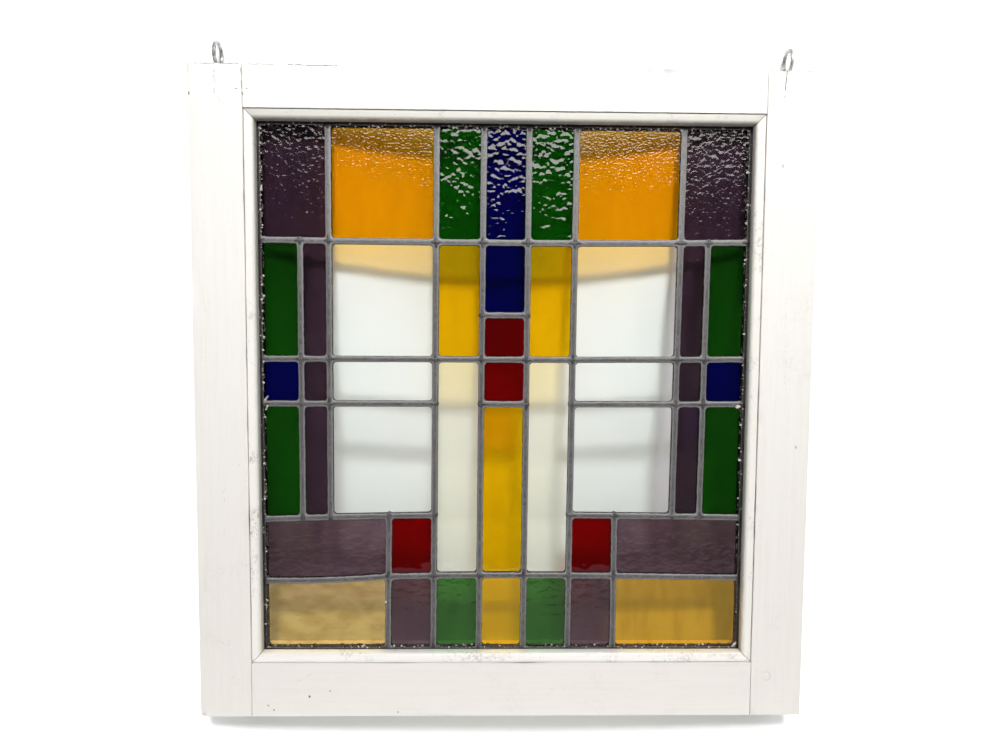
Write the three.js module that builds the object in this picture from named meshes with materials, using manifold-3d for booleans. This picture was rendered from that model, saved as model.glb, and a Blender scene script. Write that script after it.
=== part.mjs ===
// A hanging stained glass window: a leaded light of forty-four panes, held by
// glazing beads in a painted wooden sash with two screw eyes in its top edge.
//
// Millimetres, +Z up, +X to the right, the front faces -Y. The origin is midway
// between the holes of the two screw eyes, which is the line the window hangs on.

import * as THREE from 'three';
import { mergeVertices } from 'three/addons/utils/BufferGeometryUtils.js';
import Module from 'manifold-3d';

const wasm = await Module();
wasm.setup();

// ---------------------------------------------------------------- dimensions

// The sash. Heights are measured from the middle of the sash.
const WIDTH = 660;
const HEIGHT = 698;
const THICKNESS = 38;
const STILE_FACE = 55.5;
const TOP_RAIL_FACE = 44.5;
const BOTTOM_RAIL_FACE = 59.5;
const GAP = 0.3;

// The rebate that holds the leaded panel, open to the front. Depths are
// measured back from the front face of the sash.
const REBATE_WIDTH = 10.5;
const REBATE_DEPTH = 22.2;

// The glazing beads, set a little below the face, with a rounded inner edge.
const BEAD_FRONT = 2;
const BEAD_BACK = 14;
const BEAD_ROUND = 3.2;
const BEAD_CHAMFER = 0.6;
const ROUND_STEPS = 5;

// Through tenons, each locked by a peg driven from the front.
const TENON_FRONT = 13;
const TENON_BACK = 25;
const TENON_HAUNCH = 22;
const PEG_RADIUS = 4.7;
const PEG_PROUD = 0.4;
const PEG_SIDES = 16;
const PEGS = {
  peg_top_left: { x: -294.2, z: 312.9 },
  peg_top_right: { x: 295.6, z: 317.2 },
  peg_bottom_left: { x: -291.1, z: -307.6 },
  peg_bottom_right: { x: 291.0, z: -304.4 },
};

// The screw eyes: rings of round wire that stand square to the glass.
const EYE_OUTER_RADIUS = 14;
const EYE_WIRE_RADIUS = 2.1;
const EYE_RISE = 14.5;
const EYE_SHANK = 18;
const EYE_POINT = 5;
const EYE_SIDES = 10;
const EYE_STEPS = 30;
const EYE_SLIT_DEGREES = 9;
const EYE_X = { left: -305, right: 301.5 };

// The leaded panel, in depth from its own middle plane.
const PANEL_DEPTH = 18.1;
const CAME_HALF_WIDTH = 3.4;
const CAME_FLAT = 1.1;
const CAME_CROWN = 3.8;
const CAME_EDGE = 2.6;
const CHANNEL_HALF = 1.8;
const HEART_HALF = 0.75;
const GLASS_THICKNESS = 3;
const GLASS_CLEARANCE = 0.4;

// The border came lies mostly behind the beads and shows a narrow dark strip.
const BORDER_SHOWS = { left: 4.7, right: 4.7, top: 4.6, bottom: 3.4 };
const BORDER_SLACK = 1.5;

// A line of lead counts as straight within this, and otherwise takes steps.
const STRAIGHT_WITHIN = 0.25;
const BEND_STEP = 48;

// Upright cames: the place at mid height, and the slope of a hand-set line.
const UPRIGHTS = {
  outer_left: { x: -220.1, lean: 0 },
  inner_left: { x: -189.7, lean: 0.001 },
  lower_left: { x: -124.2, lean: 0.013 },
  centre_1: { x: -75.5, lean: 0.0063 },
  centre_2: { x: -25.2, lean: 0.0064 },
  centre_3: { x: 23.7, lean: 0.0045 },
  centre_4: { x: 73.9, lean: 0.0071 },
  lower_right: { x: 122.6, lean: 0 },
  inner_right: { x: 187.9, lean: 0.011 },
  outer_right: { x: 217.9, lean: 0.009 },
};

// Level cames: the height in the middle, how far each end has dropped, and the
// sag of the lead in the wide bay at the lower left.
const BARS = {
  bar_1: { z: 169.2, dropLeft: -1.2, dropRight: -2.4, sag: 0 },
  bar_half: { z: 91.4, dropLeft: 0, dropRight: 0, sag: 0 },
  bar_2: { z: 43.3, dropLeft: 0.5, dropRight: -1.9, sag: 0 },
  bar_3: { z: -5.3, dropLeft: 0.6, dropRight: -1.2, sag: 0 },
  bar_4: { z: -128.2, dropLeft: 5, dropRight: 2.2, sag: 0 },
  bar_5: { z: -196, dropLeft: 6.2, dropRight: 2.6, sag: 2.2 },
};

// Panes, row by row from the top: [colour, left line, right line, below, above].
const PANES = {
  a: [
    ['purple', 'left', 'inner_left', 'bar_1', 'top'],
    ['orange', 'inner_left', 'centre_1', 'bar_1', 'top'],
    ['green', 'centre_1', 'centre_2', 'bar_1', 'top'],
    ['blue', 'centre_2', 'centre_3', 'bar_1', 'top'],
    ['green', 'centre_3', 'centre_4', 'bar_1', 'top'],
    ['orange', 'centre_4', 'inner_right', 'bar_1', 'top'],
    ['purple', 'inner_right', 'right', 'bar_1', 'top'],
  ],
  b: [
    ['green', 'left', 'outer_left', 'bar_2', 'bar_1'],
    ['purple', 'outer_left', 'inner_left', 'bar_2', 'bar_1'],
    ['clear', 'inner_left', 'centre_1', 'bar_2', 'bar_1'],
    ['yellow', 'centre_1', 'centre_2', 'bar_2', 'bar_1'],
    ['blue', 'centre_2', 'centre_3', 'bar_half', 'bar_1'],
    ['red', 'centre_2', 'centre_3', 'bar_2', 'bar_half'],
    ['yellow', 'centre_3', 'centre_4', 'bar_2', 'bar_1'],
    ['clear', 'centre_4', 'inner_right', 'bar_2', 'bar_1'],
    ['purple', 'inner_right', 'outer_right', 'bar_2', 'bar_1'],
    ['green', 'outer_right', 'right', 'bar_2', 'bar_1'],
  ],
  c: [
    ['blue', 'left', 'outer_left', 'bar_3', 'bar_2'],
    ['purple', 'outer_left', 'inner_left', 'bar_3', 'bar_2'],
    ['clear', 'inner_left', 'centre_1', 'bar_3', 'bar_2'],
    ['clear', 'centre_1', 'centre_2', 'bar_5', 'bar_2'],
    ['red', 'centre_2', 'centre_3', 'bar_3', 'bar_2'],
    ['clear', 'centre_3', 'centre_4', 'bar_5', 'bar_2'],
    ['clear', 'centre_4', 'inner_right', 'bar_3', 'bar_2'],
    ['purple', 'inner_right', 'outer_right', 'bar_3', 'bar_2'],
    ['blue', 'outer_right', 'right', 'bar_3', 'bar_2'],
  ],
  d: [
    ['green', 'left', 'outer_left', 'bar_4', 'bar_3'],
    ['purple', 'outer_left', 'inner_left', 'bar_4', 'bar_3'],
    ['clear', 'inner_left', 'centre_1', 'bar_4', 'bar_3'],
    ['yellow', 'centre_2', 'centre_3', 'bar_5', 'bar_3'],
    ['clear', 'centre_4', 'inner_right', 'bar_4', 'bar_3'],
    ['purple', 'inner_right', 'outer_right', 'bar_4', 'bar_3'],
    ['green', 'outer_right', 'right', 'bar_4', 'bar_3'],
  ],
  e: [
    ['purple', 'left', 'lower_left', 'bar_5', 'bar_4'],
    ['red', 'lower_left', 'centre_1', 'bar_5', 'bar_4'],
    ['red', 'centre_4', 'lower_right', 'bar_5', 'bar_4'],
    ['purple', 'lower_right', 'right', 'bar_5', 'bar_4'],
  ],
  f: [
    ['pale_amber', 'left', 'lower_left', 'bottom', 'bar_5'],
    ['purple', 'lower_left', 'centre_1', 'bottom', 'bar_5'],
    ['green', 'centre_1', 'centre_2', 'bottom', 'bar_5'],
    ['yellow', 'centre_2', 'centre_3', 'bottom', 'bar_5'],
    ['green', 'centre_3', 'centre_4', 'bottom', 'bar_5'],
    ['purple', 'centre_4', 'lower_right', 'bottom', 'bar_5'],
    ['amber', 'lower_right', 'right', 'bottom', 'bar_5'],
  ],
};

// Worked out from the above: the rebate's edges and the border's visible edge.
const REBATE = {
  left: -WIDTH / 2 + STILE_FACE,
  right: WIDTH / 2 - STILE_FACE,
  bottom: -HEIGHT / 2 + BOTTOM_RAIL_FACE,
  top: HEIGHT / 2 - TOP_RAIL_FACE,
};
const BORDER_INNER = {
  left: REBATE.left + REBATE_WIDTH + BORDER_SHOWS.left,
  right: REBATE.right - REBATE_WIDTH - BORDER_SHOWS.right,
  bottom: REBATE.bottom + REBATE_WIDTH + BORDER_SHOWS.bottom,
  top: REBATE.top - REBATE_WIDTH - BORDER_SHOWS.top,
};
const HEART = {
  left: BORDER_INNER.left - CAME_HALF_WIDTH,
  right: BORDER_INNER.right + CAME_HALF_WIDTH,
  bottom: BORDER_INNER.bottom - CAME_HALF_WIDTH,
  top: BORDER_INNER.top + CAME_HALF_WIDTH,
};

// ----------------------------------------------------------------- materials

function glass(color, opacity) {
  return new THREE.MeshStandardMaterial({
    color, opacity, transparent: true, roughness: 0.08, metalness: 0,
  });
}

const MATERIALS = {
  paint: new THREE.MeshStandardMaterial({ color: 0xf6f3ea, roughness: 0.3, metalness: 0 }),
  lead: new THREE.MeshStandardMaterial({ color: 0x7d7c80, roughness: 0.5, metalness: 0.85 }),
  galvanised: new THREE.MeshStandardMaterial({ color: 0xa3a5a6, roughness: 0.4, metalness: 1 }),
  purple: glass(0x4a2748, 0.85),
  orange: glass(0xea9600, 0.8),
  green: glass(0x0e5a14, 0.85),
  blue: glass(0x060a63, 0.9),
  red: glass(0x8a0404, 0.9),
  yellow: glass(0xe2b005, 0.8),
  amber: glass(0xd79a1c, 0.8),
  pale_amber: glass(0xcfa458, 0.8),
  clear: glass(0xeef4ef, 0.3),
};

// ------------------------------------------------------------------- solids

// Turns a closed geometry into a solid that can be cut and joined.
function solid(geometry) {
  const bare = geometry.index ? geometry.toNonIndexed() : geometry.clone();
  bare.deleteAttribute('normal');
  bare.deleteAttribute('uv');
  const merged = mergeVertices(bare, 1e-4);
  return new wasm.Manifold(new wasm.Mesh({
    numProp: 3,
    vertProperties: new Float32Array(merged.attributes.position.array),
    triVerts: new Uint32Array(merged.index.array),
  }));
}

// Turns a solid back into a geometry with flat faces.
function geometryOf(body) {
  const mesh = body.getMesh();
  const geometry = new THREE.BufferGeometry();
  geometry.setAttribute('position', new THREE.BufferAttribute(mesh.vertProperties, 3));
  geometry.setIndex(new THREE.BufferAttribute(mesh.triVerts, 1));
  geometry.computeVertexNormals();
  return geometry;
}

// A box between two corners, given as [x, depth, z] in the sash's measures.
function block([x0, d0, z0], [x1, d1, z1]) {
  const box = new THREE.BoxGeometry(Math.abs(x1 - x0), d1 - d0, Math.abs(z1 - z0));
  box.translate((x0 + x1) / 2, (d0 + d1) / 2, (z0 + z1) / 2);
  return solid(box);
}

// A round bar along the depth of the sash.
function roundBar(x, z, radius, d0, d1, sides) {
  const bar = new THREE.CylinderGeometry(radius, radius, d1 - d0, sides);
  return bar.translate(x, (d0 + d1) / 2, z);
}

// ------------------------------------------------------------------ the sash

// The tenon of a rail at one end; side is -1 for the left and 1 for the right.
function tenonBlock(side, z0, z1, grow) {
  const inner = side * (WIDTH / 2 - STILE_FACE - REBATE_WIDTH - 1);
  const outer = side * (WIDTH / 2 - (grow > 0 ? -1 : GAP));
  const low = [Math.min(inner, outer), TENON_FRONT - grow, z0 - grow];
  const high = [Math.max(inner, outer), TENON_BACK + grow, z1 + grow];
  return block(low, high);
}

const TENONS = {
  top: [REBATE.top + GAP, HEIGHT / 2 - TENON_HAUNCH],
  bottom: [-HEIGHT / 2 + TENON_HAUNCH, REBATE.bottom - GAP],
};

function pegHoles(side) {
  return Object.values(PEGS)
    .filter((peg) => Math.sign(peg.x) === side)
    .map((peg) => solid(roundBar(peg.x, peg.z, PEG_RADIUS + GAP, -1, THICKNESS + 1, PEG_SIDES)));
}

function stile(side) {
  const edge = side * WIDTH / 2;
  const face = side * (WIDTH / 2 - STILE_FACE);
  const lip = side * (WIDTH / 2 - STILE_FACE - REBATE_WIDTH);
  let body = block([edge, 0, -HEIGHT / 2], [face, THICKNESS, HEIGHT / 2])
    .add(block([edge, REBATE_DEPTH, -HEIGHT / 2], [lip, THICKNESS, HEIGHT / 2]));
  for (const [z0, z1] of Object.values(TENONS)) {
    body = body.subtract(tenonBlock(side, z0, z1, GAP));
  }
  for (const hole of pegHoles(side)) {
    body = body.subtract(hole);
  }
  const eyeX = side < 0 ? EYE_X.left : EYE_X.right;
  const shankHole = new THREE.CylinderGeometry(
    EYE_WIRE_RADIUS + GAP, EYE_WIRE_RADIUS + GAP, EYE_SHANK + 1, EYE_SIDES);
  shankHole.rotateX(Math.PI / 2);
  shankHole.translate(eyeX, THICKNESS / 2, HEIGHT / 2 + 0.5 - EYE_SHANK / 2);
  return body.subtract(solid(shankHole));
}

// A rail between the stiles; edge is its outer height, rebate its inner one.
function rail(edge, rebate, [z0, z1]) {
  const inward = Math.sign(rebate - edge);
  const face = WIDTH / 2 - STILE_FACE - GAP;
  const back = face - REBATE_WIDTH;
  const lip = rebate + inward * REBATE_WIDTH;
  let body = block([-face, 0, edge], [face, REBATE_DEPTH - GAP, rebate])
    .add(block([-back, 0, edge], [back, THICKNESS, rebate]))
    .add(block([-back, REBATE_DEPTH, edge], [back, THICKNESS, lip]));
  for (const side of [-1, 1]) {
    body = body.add(tenonBlock(side, z0, z1, 0));
    for (const hole of pegHoles(side)) {
      body = body.subtract(hole);
    }
  }
  return body;
}

// A straight strip whose section is given as [distance in from its outer line,
// depth], with both ends cut at a mitre. The strip lies along the given edge.
function mitredStrip(section, edge, bounds, inset) {
  const upright = edge === 'left' || edge === 'right';
  const [low, high] = upright ? [bounds.bottom, bounds.top] : [bounds.left, bounds.right];
  const shape = new THREE.Shape(section.map(([u, d]) => new THREE.Vector2(u, d)));
  const strip = new THREE.ExtrudeGeometry(shape, { depth: high - low, bevelEnabled: false });
  const inward = edge === 'left' || edge === 'bottom' ? 1 : -1;
  const at = strip.attributes.position;
  for (let i = 0; i < at.count; i += 1) {
    const u = at.getX(i);
    const d = at.getY(i);
    const along = at.getZ(i) > 0 ? high - u - inset : low + u + inset;
    const across = bounds[edge] + inward * u;
    if (upright) {
      at.setXYZ(i, across, d, along);
    } else {
      at.setXYZ(i, along, d, across);
    }
  }
  // Right and bottom strips come out mirrored, so their faces are turned round.
  const mirrored = edge === 'right' || edge === 'bottom';
  return mirrored ? turnedRound(strip) : strip;
}

// The same geometry with every face pointing the other way.
function turnedRound(geometry) {
  const flat = geometry.index ? geometry.toNonIndexed() : geometry;
  const at = flat.attributes.position;
  const corner = new THREE.Vector3();
  const other = new THREE.Vector3();
  for (let i = 0; i < at.count; i += 3) {
    corner.fromBufferAttribute(at, i + 1);
    other.fromBufferAttribute(at, i + 2);
    at.setXYZ(i + 1, other.x, other.y, other.z);
    at.setXYZ(i + 2, corner.x, corner.y, corner.z);
  }
  return flat;
}

function beadSection() {
  const round = [];
  for (let i = 0; i <= ROUND_STEPS; i += 1) {
    const turn = (i / ROUND_STEPS) * Math.PI / 2;
    round.push([
      REBATE_WIDTH - BEAD_ROUND + BEAD_ROUND * Math.cos(turn),
      BEAD_FRONT + BEAD_ROUND - BEAD_ROUND * Math.sin(turn),
    ]);
  }
  return [
    [GAP, BEAD_BACK],
    [REBATE_WIDTH, BEAD_BACK],
    ...round,
    [GAP + BEAD_CHAMFER, BEAD_FRONT],
    [GAP, BEAD_FRONT + BEAD_CHAMFER],
  ];
}

function peg(x, z) {
  return solid(roundBar(x, z, PEG_RADIUS, -PEG_PROUD, THICKNESS - GAP, PEG_SIDES));
}

// --------------------------------------------------------------- screw eyes

// The ring's centre line, an open circle that starts over the shank.
class RingPath extends THREE.Curve {
  getPoint(t, target = new THREE.Vector3()) {
    const slit = THREE.MathUtils.degToRad(EYE_SLIT_DEGREES);
    const turn = -Math.PI / 2 + t * (2 * Math.PI - slit);
    const radius = EYE_OUTER_RADIUS - EYE_WIRE_RADIUS;
    return target.set(0, radius * Math.cos(turn), radius * Math.sin(turn));
  }
}

function screwEye(x) {
  const wire = new THREE.Shape();
  wire.absarc(0, 0, EYE_WIRE_RADIUS, 0, 2 * Math.PI, false);
  const ring = new THREE.ExtrudeGeometry(wire, {
    steps: EYE_STEPS, curveSegments: EYE_SIDES / 2, extrudePath: new RingPath(),
  });
  const length = EYE_RISE - EYE_OUTER_RADIUS + EYE_WIRE_RADIUS + EYE_SHANK - EYE_POINT;
  const shank = new THREE.CylinderGeometry(EYE_WIRE_RADIUS, EYE_WIRE_RADIUS, length, EYE_SIDES);
  shank.rotateX(Math.PI / 2);
  shank.translate(0, 0, EYE_WIRE_RADIUS - EYE_OUTER_RADIUS - length / 2);
  const point = new THREE.CylinderGeometry(EYE_WIRE_RADIUS, 0.4, EYE_POINT - GAP, EYE_SIDES);
  point.rotateX(Math.PI / 2);
  point.translate(0, 0, EYE_WIRE_RADIUS - EYE_OUTER_RADIUS - length - (EYE_POINT - GAP) / 2);
  return solid(ring).add(solid(shank)).add(solid(point))
    .translate([x, THICKNESS / 2, HEIGHT / 2 + EYE_RISE]);
}

// ------------------------------------------------------------ leaded panel

// Height of a level line at x. The border's own lines are straight.
function barHeight(name, x) {
  const bar = BARS[name];
  if (!bar) {
    return HEART[name];
  }
  const share = x / HEART.right;
  const drop = share < 0 ? bar.dropLeft : bar.dropRight;
  const bayEnd = UPRIGHTS.lower_left.x;
  const inBay = x < bayEnd ? (x - HEART.left) / (bayEnd - HEART.left) : 0;
  return bar.z - drop * share * share - bar.sag * Math.sin(Math.PI * inBay);
}

// Place of an upright line at height z.
function uprightPlace(name, z) {
  const line = UPRIGHTS[name];
  return line ? line.x + line.lean * z : HEART[name];
}

// Where an upright line meets a level line.
function crossing(upright, bar) {
  const x = uprightPlace(upright, barHeight(bar, uprightPlace(upright, 0)));
  return [x, barHeight(bar, x)];
}

// The heights along a level line, from one place to another. A line that bends
// is followed in short steps.
function barPoints(name, x0, x1) {
  const middle = barHeight(name, (x0 + x1) / 2);
  const chord = (barHeight(name, x0) + barHeight(name, x1)) / 2;
  const bends = Math.abs(middle - chord) > STRAIGHT_WITHIN;
  const steps = bends ? Math.ceil(Math.abs(x1 - x0) / BEND_STEP) : 1;
  return Array.from({ length: steps + 1 }, (_, i) => {
    const x = x0 + (x1 - x0) * i / steps;
    return [x, barHeight(name, x)];
  });
}

// The outline between four lines of the panel, anticlockwise from the front,
// drawn in from each line by the inset.
function cell([left, right, below, above], inset) {
  const lift = (points, dz) => points.map(([x, z]) => [x, z + dz]);
  const foot = barPoints(below, crossing(left, below)[0] + inset, crossing(right, below)[0] - inset);
  const head = barPoints(above, crossing(right, above)[0] - inset, crossing(left, above)[0] + inset);
  return [...lift(foot, inset), ...lift(head, -inset)];
}

// A closed body through outlines of equal length, each at its own depth.
function loft(outlines, depths) {
  const count = outlines[0].length;
  const points = outlines.flatMap((outline, i) => outline.map(([x, z]) => [x, depths[i], z]));
  const faces = [];
  for (let i = 0; i + 1 < outlines.length; i += 1) {
    for (let j = 0; j < count; j += 1) {
      const k = (j + 1) % count;
      const [a, b] = [i * count + j, i * count + k];
      faces.push([a, a + count, b + count], [a, b + count, b]);
    }
  }
  const flat = outlines[0].map(([x, z]) => new THREE.Vector2(x, z));
  const last = (outlines.length - 1) * count;
  for (const [a, b, c] of THREE.ShapeUtils.triangulateShape(flat, [])) {
    faces.push([a, b, c], [last + a, last + c, last + b]);
  }
  const geometry = new THREE.BufferGeometry();
  geometry.setAttribute('position', new THREE.Float32BufferAttribute(points.flat(), 3));
  geometry.setIndex(faces.flat());
  return solid(geometry);
}

// What one pane takes out of the lead: its pocket between the two leaves of the
// cames, and the openings before and behind it with their rounded edges.
function paneCavity(lines) {
  const front = [
    [CAME_FLAT, CAME_CROWN],
    [CAME_FLAT, CAME_CROWN],
    [CAME_HALF_WIDTH * 0.7, (CAME_CROWN + CAME_EDGE) / 2 + 0.25],
    [CAME_HALF_WIDTH, CAME_EDGE],
    [CAME_HALF_WIDTH, CHANNEL_HALF],
    [HEART_HALF, CHANNEL_HALF],
  ];
  const whole = [...front, ...front.map(([inset, d]) => [inset, -d]).reverse()];
  const depths = whole.map(([, d]) => PANEL_DEPTH - d);
  depths[0] -= 1;
  depths[depths.length - 1] += 1;
  return loft(whole.map(([inset]) => cell(lines, inset)), depths);
}

function leadCames() {
  const slack = BORDER_SLACK;
  const slab = block(
    [REBATE.left + slack, PANEL_DEPTH - CAME_CROWN, REBATE.bottom + slack],
    [REBATE.right - slack, PANEL_DEPTH + CAME_CROWN, REBATE.top - slack]);
  const cavities = Object.values(PANES).flat().map(([, ...lines]) => paneCavity(lines));
  return cavities.reduce((lead, cavity) => lead.subtract(cavity), slab);
}

function pane(lines) {
  const outline = cell(lines, HEART_HALF + GLASS_CLEARANCE);
  const front = PANEL_DEPTH - GLASS_THICKNESS / 2;
  return loft([outline, outline], [front, front + GLASS_THICKNESS]);
}

// ------------------------------------------------------------ the window

const sash = new THREE.Group();
sash.position.set(0, -THICKNESS / 2, -(HEIGHT / 2 + EYE_RISE));

function place(name, body, material) {
  const mesh = new THREE.Mesh(geometryOf(body), MATERIALS[material]);
  mesh.name = name;
  sash.add(mesh);
}

place('stile_left', stile(-1), 'paint');
place('stile_right', stile(1), 'paint');
place('rail_top', rail(HEIGHT / 2, REBATE.top, TENONS.top), 'paint');
place('rail_bottom', rail(-HEIGHT / 2, REBATE.bottom, TENONS.bottom), 'paint');
for (const edge of ['left', 'right', 'top', 'bottom']) {
  const strip = mitredStrip(beadSection(), edge, REBATE, GAP / 2);
  place(`bead_${edge}`, solid(strip), 'paint');
}
for (const [name, { x, z }] of Object.entries(PEGS)) {
  place(name, peg(x, z), 'paint');
}
for (const side of ['left', 'right']) {
  place(`screw_eye_${side}`, screwEye(EYE_X[side]), 'galvanised');
}
place('lead_cames', leadCames(), 'lead');
for (const [row, panes] of Object.entries(PANES)) {
  panes.forEach(([colour, ...lines], i) => {
    place(`pane_${row}${i + 1}_${colour}`, pane(lines), colour);
  });
}

export default sash;
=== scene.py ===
import logging
import math
import random
from dataclasses import dataclass, field, replace
from enum import Enum
from typing import Iterable, Sequence

import bmesh
import bpy
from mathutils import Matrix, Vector, noise


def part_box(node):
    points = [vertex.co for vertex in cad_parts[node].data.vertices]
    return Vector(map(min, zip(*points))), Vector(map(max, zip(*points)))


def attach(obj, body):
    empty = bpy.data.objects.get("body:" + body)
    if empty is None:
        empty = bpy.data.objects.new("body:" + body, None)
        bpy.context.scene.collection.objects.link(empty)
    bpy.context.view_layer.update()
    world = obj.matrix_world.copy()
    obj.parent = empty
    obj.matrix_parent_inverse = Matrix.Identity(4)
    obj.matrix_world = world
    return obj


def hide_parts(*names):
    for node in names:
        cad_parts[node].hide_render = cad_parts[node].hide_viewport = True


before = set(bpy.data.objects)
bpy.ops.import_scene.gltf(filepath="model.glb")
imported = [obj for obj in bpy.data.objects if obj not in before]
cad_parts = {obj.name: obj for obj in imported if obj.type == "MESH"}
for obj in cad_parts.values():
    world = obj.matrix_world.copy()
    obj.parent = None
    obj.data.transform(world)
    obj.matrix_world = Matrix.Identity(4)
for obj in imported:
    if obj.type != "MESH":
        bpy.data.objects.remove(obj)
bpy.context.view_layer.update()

log = logging.getLogger("window")

MM = 0.001
NODES: dict[str, bpy.types.Object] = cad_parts
Colour = tuple[float, float, float]
Point = tuple[float, float]
Socket = bpy.types.NodeSocket
Sockets = bpy.types.bpy_prop_collection

# The sash as the frame has it: its outer corners, its middle, and its front face.
SASH_LOW = Vector([min(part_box(n)[0][i] for n in ("stile_left", "rail_bottom")) for i in range(3)])
SASH_HIGH = Vector([max(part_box(n)[1][i] for n in ("stile_right", "rail_top")) for i in range(3)])
MIDDLE_Z = (SASH_LOW.z + SASH_HIGH.z) / 2
FRONT_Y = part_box("rail_top")[0].y
# The front and back faces of the glass.
GLASS_FRONT, GLASS_BACK = (corner.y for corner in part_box("pane_b5_blue"))

# The order of a face's corners, out of: here, the next one here, there, the next one there.
FRONT = (0, 1, 3, 2)
BACK = (0, 2, 3, 1)


def place(x: float, z: float) -> Vector:
    """The point on the front face x and z millimetres from its middle, in metres, in the frame."""
    return Vector((x * MM, FRONT_Y, MIDDLE_Z + z * MM))


# ---------------------------------------------------------------- nodes and shared effects


@dataclass
class Graph:
    """The node tree of a material or a group while it is being wired."""

    tree: bpy.types.NodeTree

    def put(self, node: bpy.types.Node, values: dict) -> None:
        """Fills a node's inputs, from name or index to a number, a colour or another node's output."""
        for key, value in values.items():
            if isinstance(value, Socket):
                self.tree.links.new(value, node.inputs[key])
            else:
                node.inputs[key].default_value = value

    def add(self, kind: str, values: dict | None = None, **settings) -> bpy.types.Node:
        """Adds a node.

        Args:
            kind: The node's type name, without ShaderNode.
            values: What goes into its inputs, as put takes it.
            **settings: The node's own properties.

        Returns:
            The new node.
        """
        node = self.tree.nodes.new("ShaderNode" + kind)
        for name, value in settings.items():
            setattr(node, name, value)
        self.put(node, values or {})
        return node

    def math(self, operation: str, a: Socket | float, b: Socket | float = 0.0) -> Socket:
        """One sum on one or two numbers, named as the Math node names it."""
        return self.add("Math", {0: a, 1: b}, operation=operation).outputs[0]

    def times(self, a: Socket | float, b: Socket | float) -> Socket:
        """a times b."""
        return self.math("MULTIPLY", a, b)

    def off(self, value: Socket, centre: float) -> Socket:
        """How far a number is from a centre, either way."""
        return self.math("ABSOLUTE", self.math("SUBTRACT", value, centre))

    def vector(self, operation: str, a: Socket, b: Socket | Colour) -> Socket:
        """One sum on two places. SCALE takes a number as b, and DOT_PRODUCT and DISTANCE give one."""
        node = self.add("VectorMath", {0: a, 3 if operation == "SCALE" else 1: b}, operation=operation)
        return node.outputs["Value" if operation in ("DOT_PRODUCT", "DISTANCE") else "Vector"]

    def mix(self, amount: Socket | float, a: Socket | Colour, b: Socket | Colour) -> Socket:
        """The colour between a and b, where amount 0 is all a."""
        first, second = (c if isinstance(c, Socket) else (*c, 1.0) for c in (a, b))
        return self.add("Mix", {0: amount, 6: first, 7: second}, data_type="RGBA").outputs[2]

    def step(self, value: Socket, low: float, high: float, start: float = 0.0, end: float = 1.0) -> Socket:
        """value eased from start at low to end at high, and held beyond both."""
        values = {0: value, 1: low, 2: high, 3: start, 4: end}
        return self.add("MapRange", values, interpolation_type="SMOOTHSTEP").outputs[0]

    def noise(self, where: Socket, scale: float | Socket, detail: float = 2.0, rough: float = 0.5) -> Socket:
        """Cloudy noise, about 0.5 in the middle, with scale waves to the metre."""
        return self.add(
            "TexNoise", {"Vector": where, "Scale": scale, "Detail": detail, "Roughness": rough}
        ).outputs[0]

    def split(self, where: Socket) -> Sockets:
        """The three numbers of a place."""
        return self.add("SeparateXYZ", {0: where}).outputs

    def bump(self, height: Socket, distance: float, strength: float = 1.0) -> Socket:
        """A normal from a height map whose 0 to 1 stands for distance in metres."""
        return self.add("Bump", {"Strength": strength, "Distance": distance, "Height": height}).outputs[0]


class Effect:
    """A look that several materials share, as a node group that is built when it is first used."""

    name: str
    takes: dict[str, float | Colour]
    gives: tuple[str, ...]

    def wire(self, g: Graph, given: Sockets) -> tuple[Socket, ...]:
        """Wires the group.

        Args:
            g: The group's graph.
            given: Its inputs.

        Returns:
            Its outputs, in the order of gives.
        """
        raise NotImplementedError

    def group(self) -> bpy.types.NodeTree:
        """The node group."""
        found = bpy.data.node_groups.get(self.name)
        if found:
            return found
        group = bpy.data.node_groups.new(self.name, "ShaderNodeTree")
        for label, default in self.takes.items():
            kind = "NodeSocketVector" if isinstance(default, tuple) else "NodeSocketFloat"
            group.interface.new_socket(label, in_out="INPUT", socket_type=kind).default_value = default
        for label in self.gives:
            group.interface.new_socket(label, in_out="OUTPUT", socket_type="NodeSocketFloat")
        g = Graph(group)
        ends = self.wire(g, group.nodes.new("NodeGroupInput").outputs)
        g.put(group.nodes.new("NodeGroupOutput"), dict(zip(self.gives, ends)))
        return group

    def use(self, g: Graph, values: dict) -> Sockets:
        """Places the effect in a graph, with these values, and returns its outputs."""
        return g.add("Group", values, node_tree=self.group()).outputs


class BrushedPaint(Effect):
    """Brush strokes in thick gloss paint: their height, and a faint change of tone."""

    name = "brushed paint"
    takes = {"Where": (0.0, 0.0, 0.0), "Along": (1.0, 1.0, 1.0)}
    gives = ("Height", "Tone")

    def wire(self, g: Graph, given: Sockets) -> tuple[Socket, ...]:
        """Wires fine and wide strokes, and soft lumps under them."""
        along = g.vector("MULTIPLY", given["Where"], given["Along"])
        strokes = g.noise(along, 620.0, 4.0, 0.6)
        wide = g.noise(along, 150.0, 2.0, 0.5)
        lumps = g.noise(given["Where"], 75.0, 3.0, 0.55)
        height = g.math("ADD", g.times(strokes, 0.45), g.times(wide, 0.35))
        height = g.math("ADD", height, g.times(lumps, 0.5))
        return height, g.step(g.math("ADD", g.times(strokes, 0.6), g.times(wide, 0.4)), 0.4, 0.68)


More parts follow.
